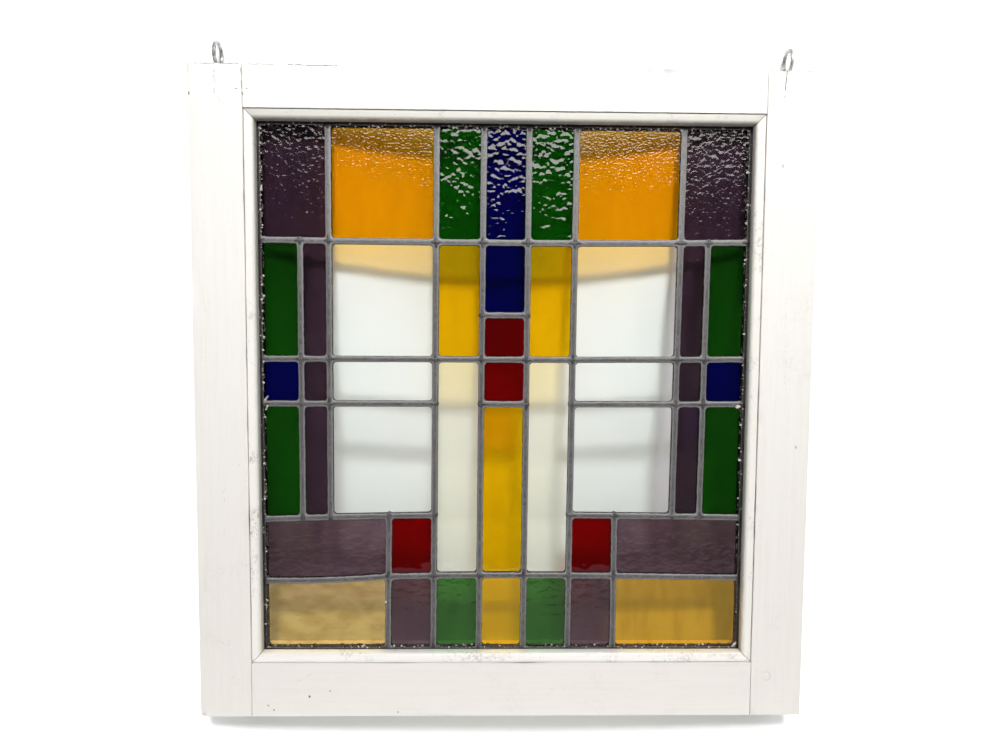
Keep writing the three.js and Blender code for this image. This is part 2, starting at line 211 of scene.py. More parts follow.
class Grime(Effect):
    """Old dirt: soft clouds of it, and a few small specks."""

    name = "grime"
    takes = {"Where": (0.0, 0.0, 0.0)}
    gives = ("Clouds", "Specks")

    def wire(self, g: Graph, given: Sockets) -> tuple[Socket, ...]:
        """Wires clouds that a finer noise breaks up, and specks."""
        clouds = g.step(g.noise(given["Where"], 26.0, 6.0, 0.62), 0.52, 0.78)
        broken = g.step(g.noise(given["Where"], 330.0, 3.0, 0.6), 0.42, 0.62)
        return g.times(clouds, broken), g.step(g.noise(given["Where"], 520.0, 1.0, 0.3), 0.775, 0.81)


class Hairline(Effect):
    """A thin mark on the front face, from one place to another, wandering a little: cracks, dots, and strokes
    of painted shade.
    """

    name = "hairline"
    takes = {
        "Where": (0.0, 0.0, 0.0), "From": (0.0, 0.0, 0.0), "To": (0.0, 0.0, 1.0),
        "Half Width": 0.0003, "Wander": 0.002,
    }
    gives = ("Mask",)

    def wire(self, g: Graph, given: Sockets) -> tuple[Socket, ...]:
        """Wires the distance to the nearest point between the two ends, from a place that wanders."""
        wander = g.add("TexNoise", {"Vector": given["Where"], "Scale": 160.0, "Detail": 3.0}).outputs["Color"]
        shift = g.vector("SCALE", g.vector("SUBTRACT", wander, (0.5, 0.5, 0.5)), given["Wander"])
        part = g.vector("SUBTRACT", g.vector("ADD", given["Where"], shift), given["From"])
        whole = g.vector("SUBTRACT", given["To"], given["From"])
        share = g.math("DIVIDE", g.vector("DOT_PRODUCT", part, whole), g.vector("DOT_PRODUCT", whole, whole))
        nearest = g.vector("SCALE", whole, g.add("Clamp", {0: share}).outputs[0])
        ratio = g.math("DIVIDE", g.vector("DISTANCE", part, nearest), given["Half Width"])
        return (g.step(ratio, 0.5, 1.4, 1.0, 0.0),)


class WorkedLead(Effect):
    """Hand-worked lead: lumps and scratches in its height, and blotches of pale oxide."""

    name = "worked lead"
    takes = {"Where": (0.0, 0.0, 0.0)}
    gives = ("Height", "Oxide", "Fine")

    def wire(self, g: Graph, given: Sockets) -> tuple[Socket, ...]:
        """Wires lumps, blotches and a fine grain."""
        lumps = g.noise(given["Where"], 260.0, 3.0, 0.55)
        fine = g.noise(given["Where"], 800.0, 3.0, 0.6)
        oxide = g.step(g.noise(given["Where"], 170.0, 6.0, 0.7), 0.42, 0.62)
        return g.math("ADD", g.times(lumps, 0.7), g.times(fine, 0.3)), oxide, fine


class DrawnGlass(Effect):
    """Old drawn and rolled glass: slow waves, a fine grain, and darker streaks in its colour."""

    name = "drawn glass"
    takes = {"Where": (0.0, 0.0, 0.0), "Drawn": (1.0, 1.0, 0.28)}
    gives = ("Waves", "Grain", "Streaks")

    def wire(self, g: Graph, given: Sockets) -> tuple[Socket, ...]:
        """Wires waves, grain, and streaks along the way the glass was drawn."""
        streaks = g.noise(g.vector("MULTIPLY", given["Where"], given["Drawn"]), 60.0, 4.0, 0.6)
        grain = g.noise(given["Where"], 420.0, 2.0, 0.55)
        return g.noise(given["Where"], 34.0, 2.0, 0.4), grain, g.step(streaks, 0.35, 0.68)


def start_material(name: str) -> tuple[bpy.types.Material, Graph, bpy.types.Node, bpy.types.Node, Socket]:
    """Starts a material.

    Args:
        name: The material's name.

    Returns:
        The material, its graph, its Principled shader, its output node and the place in the frame.
    """
    material = bpy.data.materials.new(name)
    material.use_nodes = True
    material.node_tree.nodes.clear()
    g = Graph(material.node_tree)
    shader = g.add("BsdfPrincipled")
    out = g.add("OutputMaterial", {"Surface": shader.outputs[0]})
    return material, g, shader, out, g.add("TexCoord").outputs["Object"]


# ---------------------------------------------------------------- finishes


class Grain(Enum):
    """The way the brush ran, as the squeeze of the strokes along X, Y and Z."""

    UPRIGHT = (1.0, 1.0, 0.035)
    ACROSS = (0.035, 1.0, 1.0)
    STIPPLED = (1.0, 1.0, 1.0)


@dataclass(frozen=True)
class Mark:
    """A mark on the front face, in millimetres from the sash's middle: cracks, scratches and dots of dirt,
    and strokes of painted shade round the pegs.

    Args:
        start: Its upper or left end, across and up.
        end: Its other end.
        half_width: Half its width.
        wander: How far it strays from the straight.
        shade: How dark it is, 0 to 1.
    """

    start: Point
    end: Point
    half_width: float = 0.35
    wander: float = 2.0
    shade: float = 1.0


@dataclass(frozen=True)
class PaintFinish:
    """White gloss paint, brushed on thick over old wood, and a little dirty.

    Args:
        name: The material's name.
        grain: The way the brush ran.
        colour: The clean paint.
        dirt: How strongly the grime shows, 0 to 1.
        marks: The cracks, dots and strokes of painted shade on this piece.
        soil: How dark the clouds of grime get where they are thickest, 0 to 1.
        edge: A darker edge, partly dirt and partly painted shade: its axis, its place along that axis and how
            dark it gets.
        age: How much painted shade, with a yellow tint, darkens the paint toward the foot of the sash, 0 to
            1.
        lip: The part of the sash behind the panel, darkened with painted shade: how deep it lies, and for
        X and Z its middle and its half width, in millimetres.
    """

    name: str
    grain: Grain
    colour: Colour = (0.90, 0.872, 0.828)
    dirt: float = 0.3
    marks: tuple[Mark, ...] = ()
    soil: float = 0.5
    edge: tuple[int, float, float] | None = None
    age: float = 0.26
    lip: tuple[float, tuple[Point, Point]] = (16.0, ((0.0, 265.0), (7.5, 287.5)))

    shade: Colour = (0.55, 0.54, 0.50)
    # The grime colour also paints shade: on the lip behind the panel, and at the beads' inner edges.
    grime: Colour = (0.20, 0.185, 0.16)
    # The colour of the painted shade, with a yellow tint, toward the foot of the sash.
    yellowed_shade: Colour = (0.52, 0.46, 0.41)
    # The colour of cracks and dots, and of the painted shade round the pegs.
    crack_and_shade: Colour = (0.03, 0.026, 0.022)

    def behind_panel(self, g: Graph, split: Sockets) -> Socket:
        """1 on the lip behind the panel, and 0 elsewhere."""
        depth, (across, up) = self.lip
        found = g.step(split[1], FRONT_Y + depth * MM, FRONT_Y + (depth + 2) * MM)
        for axis, start, (middle, reach) in ((0, 0.0, across), (2, MIDDLE_Z, up)):
            off = g.off(split[axis], start + middle * MM)
            found = g.times(found, g.step(off, reach * MM, (reach + 1.5) * MM, 1.0, 0.0))
        return found

    def material(self) -> bpy.types.Material:
        """Makes the material."""
        material, g, shader, _, where = start_material(self.name)
        brushed = BrushedPaint().use(g, {"Where": where, "Along": self.grain.value})
        dirty = Grime().use(g, {"Where": where})
        split = g.split(where)
        colour = g.mix(g.times(brushed["Tone"], 0.11), self.colour, self.shade)
        colour = g.mix(g.times(dirty["Clouds"], self.soil * self.dirt), colour, self.grime)
        colour = g.mix(g.times(dirty["Specks"], self.dirt), colour, self.grime)
        # A bead's inner edge darkens in the grime colour: partly dirt, partly painted shade.
        if self.edge:
            axis, line, share = self.edge
            edge_wear_and_light = g.step(g.off(split[axis], line), 0.5 * MM, 4.5 * MM, share, 0.0)
            edge_wear_and_light = g.times(edge_wear_and_light, g.step(brushed["Height"], 0.35, 0.75, 0.4, 1.0))
            colour = g.mix(edge_wear_and_light, colour, self.grime)
        # Painted shade with a yellow tint darkens the paint toward the foot of the sash.
        yellowed_and_shaded = g.step(split[2], SASH_LOW.z, MIDDLE_Z + 0.2, self.age, 0.03)
        colour = g.mix(yellowed_and_shaded, colour, self.yellowed_shade)
        # Painted shade darkens the lip behind the panel, in the grime colour.
        colour = g.mix(g.times(self.behind_panel(g, split), 0.25), colour, self.grime)
        height = brushed["Height"]
        # The marks are cracks and dots of dirt, and strokes of painted shade round the pegs.
        for mark in self.marks:
            ends = {"Where": where, "From": place(*mark.start), "To": place(*mark.end)}
            sizes = {"Half Width": mark.half_width * MM, "Wander": mark.wander * MM}
            line = Hairline().use(g, ends | sizes)["Mask"]
            colour = g.mix(g.times(line, mark.shade), colour, self.crack_and_shade)
            height = g.math("SUBTRACT", height, g.times(line, 1.5 * mark.shade))
        g.put(shader, {
            "Base Color": colour,
            "Normal": g.bump(height, 0.22 * MM, 0.8),
            "Roughness": g.step(brushed["Tone"], 0.0, 1.0, 0.34, 0.48),
            "Coat Weight": 0.15,
            "Coat Roughness": 0.25,
        })
        return material


@dataclass(frozen=True)
class MetalFinish:
    """A dull metal with patches of oxide.

    Args:
        name: The material's name.
        dark: The metal in its hollows.
        pale: The oxide on it.
        roughness: The lowest and highest roughness.
        metallic: How metallic it is.
        relief: The depth of its lumps and scratches, in millimetres.
        inside: The lowest and highest X, and Z, between which it is free of black putty.
        crown: The middle of the panel front to back, and how far in front of it lies the metal's paler edge,
            partly worn and partly painted highlight.
    """

    name: str
    dark: Colour
    pale: Colour
    roughness: tuple[float, float]
    metallic: float
    relief: float
    inside: tuple[Point, Point] | None = None
    crown: tuple[float, float] | None = None

    black: Colour = (0.012, 0.011, 0.010)
    # The paler lead of the came's edge, partly wear and partly painted highlight; it also lightens the lead
    # higher up.
    edge_wear_and_light: Colour = (0.42, 0.42, 0.42)

    def crowned(self, g: Graph, colour: Socket, split: Sockets, worked: Sockets) -> Socket:
        """The colour with a paler edge, partly worn lead and partly painted highlight, paler lead above, and
        black at its foot, partly putty and partly painted shade.

        Args:
            g: The material's graph.
            colour: The colour so far.
            split: The place's three numbers.
            worked: The outputs of WorkedLead.

        Returns:
            The new colour.
        """
        middle, edge_wear_and_light = self.crown
        uneven = g.times(g.math("SUBTRACT", worked["Oxide"], 0.5), 0.35 * MM)
        rise = g.math("ADD", g.off(split[1], middle), uneven)
        # A paler band near the came's edge: partly worn lead, partly painted highlight.
        up = g.step(rise, edge_wear_and_light - 0.45 * MM, edge_wear_and_light)
        down = g.step(rise, edge_wear_and_light + 0.1 * MM, edge_wear_and_light + 0.5 * MM, 1.0, 0.0)
        colour = g.mix(g.times(g.times(up, down), 0.34), colour, self.edge_wear_and_light)
        above = g.step(split[2], MIDDLE_Z + 0.12, MIDDLE_Z + 0.2)
        colour = g.mix(g.times(above, g.times(worked["Fine"], 0.42)), colour, self.edge_wear_and_light)
        # Black at the came's foot, where it meets the glass: partly putty, partly painted shade.
        foot = g.step(rise, edge_wear_and_light - 0.5 * MM, edge_wear_and_light - 0.15 * MM, 1.0, 0.0)
        return g.mix(g.times(foot, 0.8), colour, self.black)

    def material(self) -> bpy.types.Material:
        """Makes the material."""
        material, g, shader, _, where = start_material(self.name)
        worked = WorkedLead().use(g, {"Where": where})
        split = g.split(where)
        patches = g.times(g.math("ADD", worked["Oxide"], g.step(worked["Fine"], 0.3, 0.7)), 0.5)
        colour = g.mix(patches, self.dark, self.pale)
        if self.crown:
            colour = self.crowned(g, colour, split, worked)
        if self.inside:
            past = []
            for axis, (low, high) in zip((0, 2), self.inside):
                half = (high - low) / 2
                past.append(g.step(g.off(split[axis], (low + high) / 2), half, half + 0.6 * MM))
            colour = g.mix(g.math("MAXIMUM", *past), colour, self.black)
        g.put(shader, {
            "Base Color": colour,
            "Roughness": g.step(worked["Fine"], 0.3, 0.7, *self.roughness),
            "Normal": g.bump(worked["Height"], self.relief * MM),
            "Metallic": self.metallic,
        })
        return material


class Relief(Enum):
    """The surface of a kind of glass."""

    SMOOTH = "smooth"
    HAMMERED = "hammered"
    STIPPLED = "stippled"
    RIPPLED = "rippled"
    BRUSHED = "brushed"


@dataclass(frozen=True)
class GlassFinish:
    """Coloured or clear glass.

    Args:
        name: The material's name.
        slot: The record's slot that it stands for.
        colour: What a white wall looks like through the pane.
        cast: The colour of the light that the pane lets through to what is behind it.
        streak: The colour where its streaks are darkest.
        streaks: How strongly the streaks show, 0 to 1.
        grain: The depth of its fine grain, in millimetres.
        waves: The depth of its slow waves, in millimetres.
        drawn: The squeeze of its streaks along X, Y and Z.
    """

    name: str
    slot: str
    colour: Colour
    cast: Colour
    streak: Colour
    streaks: float = 0.3
    grain: float = 0.0
    waves: float = 0.25
    drawn: Colour = (1.0, 1.0, 0.28)

    def material(self) -> bpy.types.Material:
        """Makes the material. Light passes it by the cast colour, once at each face."""
        material, g, shader, out, where = start_material(self.name)
        glass = DrawnGlass().use(g, {"Where": where, "Drawn": self.drawn})
        normal = g.bump(glass["Waves"], self.waves * MM)
        if self.grain:
            fine = {"Distance": self.grain * MM, "Height": glass["Grain"], "Normal": normal}
            normal = g.add("Bump", {"Strength": 1.0} | fine).outputs[0]
        g.put(shader, {
            "Base Color": g.mix(g.times(glass["Streaks"], self.streaks), self.colour, self.streak),
            "Normal": normal,
            "Roughness": 0.0,
            "IOR": 1.5,
            "Transmission Weight": 1.0,
        })
        passed = tuple(math.sqrt(c) for c in self.cast)
        clear = g.add("BsdfTransparent", {"Color": (*passed, 1)}).outputs[0]
        shadow = g.add("LightPath").outputs["Is Shadow Ray"]
        both = g.add("MixShader", {0: shadow, 1: shader.outputs[0], 2: clear})
        g.put(out, {"Surface": both.outputs[0]})
        return material


@dataclass(frozen=True)
class PlainFinish:
    """A plain finish with a little tone: the backdrop, putty and the like.

    Args:
        name: The material's name.
        colour: Its colour.
        other: The colour it drifts to.
        scale: Waves of that drift to the metre.
        roughness: Its roughness.
        relief: The depth of its surface, in millimetres.
    """

    name: str
    colour: Colour
    other: Colour
    scale: float
    roughness: float = 0.8
    relief: float = 0.0

    def material(self) -> bpy.types.Material:
        """Makes the material."""
        material, g, shader, _, where = start_material(self.name)
        drift = g.noise(where, self.scale, 3.0)
        colour = g.mix(g.step(drift, 0.35, 0.65), self.colour, self.other)
        g.put(shader, {"Base Color": colour, "Roughness": self.roughness})
        if self.relief:
            g.put(shader, {"Normal": g.bump(drift, self.relief * MM)})
        return material


@dataclass(frozen=True)
class PaperFinish:
    """White paper, seen from its front only, so that the window shows and is lit from behind too.

    Args:
        name: The material's name.
        colour: The lit paper.
        other: The colour it drifts to.
        dimmed: The paper in the window's shade.
        glow: How strongly it glows beside, above and below the window, as painted light.
        dim: How much painted shade darkens it behind the window.
        fall: How much more painted shade darkens it toward the window's foot.
        rise: How much of that painted shade it loses again just above the foot.
    """

    name: str = "white_paper"
    colour: Colour = (0.925, 0.94, 0.935)
    other: Colour = (0.905, 0.92, 0.92)
    dimmed: Colour = (0.17, 0.2, 0.205)
    glow: float = 0.22
    dim: float = 0.03
    fall: float = 0.69
    rise: float = 0.42

    def material(self) -> bpy.types.Material:
        """Makes the material."""
        material, g, shader, out, where = start_material(self.name)
        across, _, up = g.split(where)[:3]
        base = g.mix(g.step(g.noise(where, 6.0, 3.0), 0.35, 0.65), self.colour, self.other)
        # Painted light: the paper glows beside, above and below the window, fading in toward the window's
        # foot.
        aside = g.step(g.math("ABSOLUTE", across), 0.285, 0.36)
        over = g.step(up, MIDDLE_Z + 0.362, MIDDLE_Z + 0.388)
        under = g.step(up, MIDDLE_Z - 0.45, MIDDLE_Z - 0.39, 1.0, 0.0)
        glow = g.math("MAXIMUM", aside, g.math("MAXIMUM", over, under))
        # Painted shade: behind the window the paper is darker, more toward its foot and less again just above
        # it.
        fall = g.step(up, SASH_LOW.z, MIDDLE_Z, self.fall, 0.0)
        rise = g.step(up, MIDDLE_Z - 0.336, MIDDLE_Z - 0.311, self.rise, 0.0)
        dim = g.mix(g.math("SUBTRACT", g.math("ADD", self.dim, fall), rise), base, self.dimmed)
        shade = g.times(g.math("SUBTRACT", 1.0, glow), g.step(up, MIDDLE_Z - 0.40, MIDDLE_Z - 0.36))
        g.put(shader, {
            "Base Color": g.mix(shade, base, dim),
            "Roughness": 0.9,
            "Emission Color": g.mix(glow, (0.0, 0.0, 0.0), (1.0, 1.0, 1.0)),
            "Emission Strength": self.glow,
        })
        behind = g.add("NewGeometry").outputs["Backfacing"]
        gone = g.math("MAXIMUM", behind, g.add("LightPath").outputs["Is Shadow Ray"])
        both = g.add("MixShader", {0: gone, 1: shader.outputs[0], 2: g.add("BsdfTransparent").outputs[0]})
        g.put(out, {"Surface": both.outputs[0]})
        return material


# ---------------------------------------------------------------- meshes


@dataclass
class Shape:
    """The points and faces of a piece while it is being made."""

    verts: list[Vector] = field(default_factory=list)
    faces: list[tuple[int, ...]] = field(default_factory=list)

    def grid(
        self,
        rows: Sequence[Sequence[Vector]],
        order: Sequence[int] = FRONT,
        ring: bool = False,
        loop: bool = False,
    ) -> int:
        """Adds rows of points with four-sided faces between them.

        Args:
            rows: The rows, all equally long.
            order: The order of each face's corners, FRONT or BACK.
            ring: Whether each row's last point meets its first.
            loop: Whether the last row meets the first.

        Returns:
            The index of the first point.
        """
        base, width, count = len(self.verts), len(rows[0]), len(rows)
        for row in rows:
            self.verts.extend(row)
        for r in range(count if loop else count - 1):
            here, there = base + r * width, base + (r + 1) % count * width
            for i in range(width if ring else width - 1):
                j = (i + 1) % width
                corners = (here + i, here + j, there + i, there + j)
                self.faces.append(tuple(corners[k] for k in order))
        return base

    def mesh(self, name: str) -> bpy.types.Mesh:
        """The points and faces as a mesh."""
        mesh = bpy.data.meshes.new(name)
        mesh.from_pydata([tuple(v) for v in self.verts], [], self.faces)
        mesh.update()
        return mesh

    def piece(self, name: str, finish: bpy.types.Material, slot: str, stands_for: Iterable[str] = ()) -> None:
        """Puts the shape into the scene as a piece. The arguments other than slot are add_piece's; slot is
        not used.
        """
        add_piece(self.mesh(name), name, finish, stands_for)


def add_piece(
    mesh: bpy.types.Mesh,
    name: str,
    finish: bpy.types.Material,
    stands_for: Iterable[str] = (),
) -> None:
    """Puts a finished mesh into the scene as a piece of the window, riding on its one body.

    Args:
        mesh: The mesh, in metres, in the frame.
        name: The piece's name.
        finish: Its material.
        stands_for: The CAD nodes that it replaces.
    """
    piece = bpy.data.objects.new(name, mesh)
    bpy.context.scene.collection.objects.link(piece)
    mesh.materials.append(finish)
    mesh.polygons.foreach_set("use_smooth", [True] * len(mesh.polygons))
    mesh.set_sharp_from_angle(angle=math.radians(50))
    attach(piece, "root")
    if stands_for:
        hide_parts(*stands_for)
    log.info("%s: %d triangles", name, sum(len(p.vertices) - 2 for p in mesh.polygons))


def add_stage(mesh: bpy.types.Mesh, finish: bpy.types.Material) -> None:
    """Puts a mesh into the scene as part of the studio, in its finish."""
    prop = bpy.data.objects.new(mesh.name, mesh)
    bpy.context.scene.collection.objects.link(prop)
    mesh.materials.append(finish)


@dataclass
class Worn:
    """A CAD node made again with soft arrises and the slight unevenness of hand work.

    Args:
        node: The CAD node.
        arris: The width taken off each sharp edge, in millimetres.
        spacing: The distance between the cuts that let the surface move, in millimetres.
        depth: How far the surface dips, in millimetres.
        wave: The length of those dips, in millimetres.
    """

    node: str
    arris: float = 0.8
    spacing: float = 9.0
    depth: float = 0.25
    wave: float = 45.0

    def mesh(self) -> bpy.types.Mesh:
        """Builds the mesh: edges softened, faces cut into a grid and gently moved inwards."""
        bm = bmesh.new()
        bm.from_mesh(NODES[self.node].data)
        bmesh.ops.remove_doubles(bm, verts=bm.verts, dist=1e-6)
        bmesh.ops.dissolve_limit(bm, angle_limit=math.radians(1.0), verts=bm.verts, edges=bm.edges)
        sharp = [e for e in bm.edges if len(e.link_faces) == 2 and e.calc_face_angle() > math.radians(35)]
        bmesh.ops.bevel(
            bm, geom=sharp, offset=self.arris * MM, segments=3, profile=0.5,
            affect="EDGES", clamp_overlap=True,
        )
        bmesh.ops.triangulate(bm, faces=[f for f in bm.faces if len(f.verts) > 4])
        low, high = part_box(self.node)
        for axis in range(3):
            cuts = max(1, round((high[axis] - low[axis]) / (self.spacing * MM)))
            if cuts < 3:
                continue
            normal = Vector([float(i == axis) for i in range(3)])
            for i in range(1, cuts):
                at = low.copy()
                at[axis] += (high[axis] - low[axis]) * i / cuts
                parts = bm.verts[:] + bm.edges[:] + bm.faces[:]
                bmesh.ops.bisect_plane(bm, geom=parts, plane_co=at, plane_no=normal, dist=1e-6)
        self.dip(bm)
        mesh = bpy.data.meshes.new(self.node)
        bm.to_mesh(mesh)
        bm.free()
        return mesh

    def dip(self, bm: bmesh.types.BMesh) -> None:
        """Moves each point inwards by smooth noise."""
        bm.normal_update()
        long, short = self.wave * MM, 0.3 * self.wave * MM
        for vert in bm.verts:
            swell = noise.noise(vert.co / long) + 0.5 * noise.noise(vert.co / short)
            vert.co -= vert.normal * (self.depth * MM * min(1.0, max(0.0, 0.5 + 0.45 * swell)))


# ---------------------------------------------------------------- the window's parts


# The cracks and dots of dirt on each member of the sash.
SASH_MARKS: dict[str, tuple[Mark, ...]] = {
    "stile_left": (
        Mark((-302.4, 350.0), (-303.0, 318.4), 0.35, 3.5, 0.7),
        Mark((-275.0, 349.0), (-274.8, 318.0), 0.45, 3.0, 0.7),
        Mark((-281.6, 323.2), (-279.6, 322.9), 0.6, 2.0, 0.6),
        Mark((-329.0, 348.7), (-303.0, 348.4), 0.5, 2.5, 0.9),
        Mark((-298.0, 348.7), (-278.0, 348.5), 0.45, 2.5, 0.7),
        Mark((-329.7, 348.0), (-329.6, 322.0), 0.4, 1.5, 0.6),
        Mark((-297.0, 316.0), (-291.0, 312.0), 0.5, 3.0, 0.5),
        Mark((-329.6, 318.6), (-329.6, 317.6), 1.4, 1.0, 0.8),
        Mark((-300.0, -40.0), (-301.0, -150.0), 0.3, 6.0, 0.18),
        Mark((-318.0, 120.0), (-316.5, 20.0), 0.3, 5.0, 0.16),
    ),
    "stile_right": (
        Mark((293.9, 349.0), (292.2, 321.0), 0.45, 3.0, 1.0),
        Mark((276.0, 348.7), (300.0, 348.5), 0.45, 2.5, 0.7),
        Mark((312.0, 348.7), (329.0, 348.5), 0.45, 2.0, 0.6),
        Mark((292.4, 250.8), (292.0, 249.6), 1.3, 2.0, 0.4),
        Mark((316.2, -48.4), (316.0, -50.0), 1.1, 2.0, 0.45),
        Mark((300.0, 110.0), (301.5, 10.0), 0.3, 6.0, 0.16),
    ),
    "rail_top": (
        Mark((-273.9, 319.5), (-273.3, 316.7), 0.6, 2.0, 0.7),
        Mark((-270.0, 323.0), (-267.0, 323.4), 0.4, 1.5, 0.8),
        Mark((-272.0, 348.3), (-236.0, 348.0), 0.45, 2.5, 0.6),
        Mark((-226.0, 347.9), (-176.0, 347.6), 0.5, 2.5, 0.8),
        Mark((40.0, 347.9), (120.0, 347.6), 0.4, 2.5, 0.5),
        Mark((-60.0, 331.0), (48.0, 329.0), 0.35, 4.0, 0.3),
    ),
    "rail_bottom": (
        Mark((-211.5, -326.2), (-211.4, -326.8), 1.1, 0.8, 0.9),
        Mark((-256.9, -336.2), (-256.0, -337.0), 0.8, 1.0, 0.5),
        Mark((-250.4, -341.4), (-250.2, -342.0), 0.8, 0.6, 0.7),
        Mark((-189.1, -320.2), (-188.8, -320.8), 0.8, 0.6, 0.6),
        Mark((-114.9, -344.2), (-114.6, -344.8), 0.8, 0.6, 0.6),
        Mark((40.0, -318.0), (150.0, -320.5), 0.3, 5.0, 0.15),
        Mark((-224.0, -309.0), (-208.0, -301.0), 0.5, 4.0, 0.12),
    ),
}


@dataclass
class Sash:
    """The four painted members of the sash, with their cracks, dents and dirt, and painted shade round the
    pegs and toward the foot.

    Args:
        corner: The radius of the worn lower left corner, in millimetres.
        rings: How dark the broken ring of painted shade round each peg is, 0 to 1.
    """

    corner: float = 5.0
    rings: dict[str, float] = field(
        default_factory=lambda: {
            "top_left": 0.22, "top_right": 0.22, "bottom_left": 0.16, "bottom_right": 0.4
        }
    )

    def build(self) -> None:
        """Makes the stiles and rails again from the CAD, softened and worn."""
        for node, marks in SASH_MARKS.items():
            # Each stile also gets broken rings of painted shade round its pegs.
            for corner, shade in self.rings.items():
                if node == f"stile_{corner.split('_')[1]}":
                    marks += self.ring(f"peg_{corner}", shade)
            grain = Grain.UPRIGHT if node.startswith("stile") else Grain.ACROSS
            paint = PaintFinish(f"paint_{node}", grain, marks=marks).material()
            mesh = Worn(node, arris=1.1).mesh()
            self.round_corner(mesh)
            add_piece(mesh, f"{node}_painted", paint, [node])

    def ring(self, peg: str, shade: float) -> tuple[Mark, ...]:
        """The broken ring of painted shade round a peg, left open at the upper left where its edge is lit.

        Args:
            peg: The peg's CAD node.
            shade: How dark the ring is, 0 to 1.

        Returns:
            Short marks round the peg.
        """
        low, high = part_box(peg)
        x, z = (low.x + high.x) / 2 / MM, ((low.z + high.z) / 2 - MIDDLE_Z) / MM
        radius = (high.x - low.x) / 2 / MM * 1.08
        angles = [math.radians(-150 + 30 * i) for i in range(9)]
        spots = [(x + radius * math.cos(a), z + radius * math.sin(a)) for a in angles]
        return tuple(Mark(a, b, 0.35, 0.8, shade) for a, b in zip(spots, spots[1:]))

    def round_corner(self, mesh: bpy.types.Mesh) -> None:
        """Knocks the lower left corner of the sash round, as wear has."""
        radius = self.corner * MM
        for vert in mesh.vertices:
            x = radius - (vert.co.x - SASH_LOW.x)
            z = radius - (vert.co.z - SASH_LOW.z)
            if x > 0 and z > 0 and math.hypot(x, z) > radius:
                scale = radius / math.hypot(x, z)
                vert.co.x = SASH_LOW.x + radius - x * scale
                vert.co.z = SASH_LOW.z + radius - z * scale


@dataclass(frozen=True)
class Bead:
    """One glazing bead.

    Args:
        side: Its side of the panel.
        inner: The axis across it, and which corner of its box has its inner edge, 0 low or 1 high.
        grain: The way its paint was brushed.
        paint: Its paint colour, darker on the top bead as painted shade and paler on the bottom bead as
            painted light.
        edge_dirt_and_shade: How dark its inner edge gets, partly from dirt and partly from painted shade, 0
            to 1.
    """

    side: str
    inner: tuple[int, int]
    grain: Grain
    paint: Colour
    edge_dirt_and_shade: float

    def build(self) -> None:
        """Makes the bead again from the CAD, with soft arrises and uneven paint."""
        node = f"bead_{self.side}"
        axis, corner = self.inner
        edge = (axis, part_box(node)[corner][axis], self.edge_dirt_and_shade)
        finish = PaintFinish(f"paint_{node}", self.grain, self.paint, 1.0, soil=0.85, edge=edge, age=0.1)
        mesh = Worn(node, arris=0.7, spacing=6.0, depth=0.3, wave=25.0).mesh()
        add_piece(mesh, f"{node}_painted", finish.material(), [node])


# The top bead's darker paint is painted shade and the bottom bead's paler paint is painted light; the inner
# edges darken with dirt and painted shade, most on the top bead.
BEADS = (
    Bead("left", (0, 1), Grain.UPRIGHT, (0.90, 0.88, 0.825), 0.3),
    Bead("right", (0, 0), Grain.UPRIGHT, (0.88, 0.86, 0.80), 0.3),
    Bead("top", (2, 0), Grain.ACROSS, (0.62, 0.61, 0.555), 0.75),
    Bead("bottom", (2, 1), Grain.ACROSS, (0.98, 0.965, 0.92), 0.15),
)


@dataclass
class Pegs:
    """The pegs through the corner joints, under the same paint as the sash.

    Args:
        crown: From the middle out: the share of the radius, and how far it stands proud, in millimetres.
        turns: How many points go round.
    """

    crown: tuple[Point, ...] = (
        (0.45, 0.38), (0.75, 0.36), (0.92, 0.25), (1.0, 0.0), (1.12, -0.12), (1.25, -0.35)
    )
    turns: int = 40

    def build(self) -> None:
        """Makes each peg with its coat of paint."""
        paint = PaintFinish("paint_pegs", Grain.STIPPLED, dirt=0.7).material()
        for corner in ("top_left", "top_right", "bottom_left", "bottom_right"):
            node = f"peg_{corner}"
            self.shape(node).piece(f"{node}_painted", paint, "painted_wood", [node])

    def shape(self, node: str) -> Shape:
        """A peg with a domed, slightly uneven head."""
        low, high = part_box(node)
        centre = (low + high) / 2
        radius = (high.x - low.x) / 2
        sizes = [(share * radius, FRONT_Y - proud * MM) for share, proud in self.crown]
        sizes += [(radius * 0.98, FRONT_Y + 0.9 * MM), (radius * 0.98, high.y)]
        rows = []
        for reach, y in sizes:
            row = []
            for i in range(self.turns):
                angle = 2 * math.pi * i / self.turns
                wobble = 1 + 0.05 * noise.noise(Vector((angle, centre.x * 90, centre.z * 90)))
                spot = Vector((math.cos(angle), 0.0, math.sin(angle))) * reach * wobble
                row.append(Vector((centre.x + spot.x, y, centre.z + spot.z)))
            rows.append(row)
        shape = Shape([Vector((centre.x, sizes[0][1], centre.z))])
        base = shape.grid(rows, BACK, ring=True)
        shape.faces += [(0, base + i, base + (i + 1) % self.turns) for i in range(self.turns)]
        shape.faces.append(tuple(len(shape.verts) - self.turns + i for i in range(self.turns)))
        return shape


@dataclass
class ScrewEyes:
    """The two zinc-coated screw eyes in the top edge."""

    finish: MetalFinish = MetalFinish(
        "dull_zinc", (0.07, 0.07, 0.068), (0.85, 0.86, 0.85), (0.3, 0.5), 0.65, 0.25
    )

    def build(self) -> None:
        """Gives both eyes a smooth, slightly uneven surface."""
        zinc = self.finish.material()
        for node in ("screw_eye_left", "screw_eye_right"):
            mesh = Worn(node, arris=0.15, spacing=60.0, depth=0.08, wave=5.0).mesh()
            add_piece(mesh, f"{node}_zinc", zinc, [node])


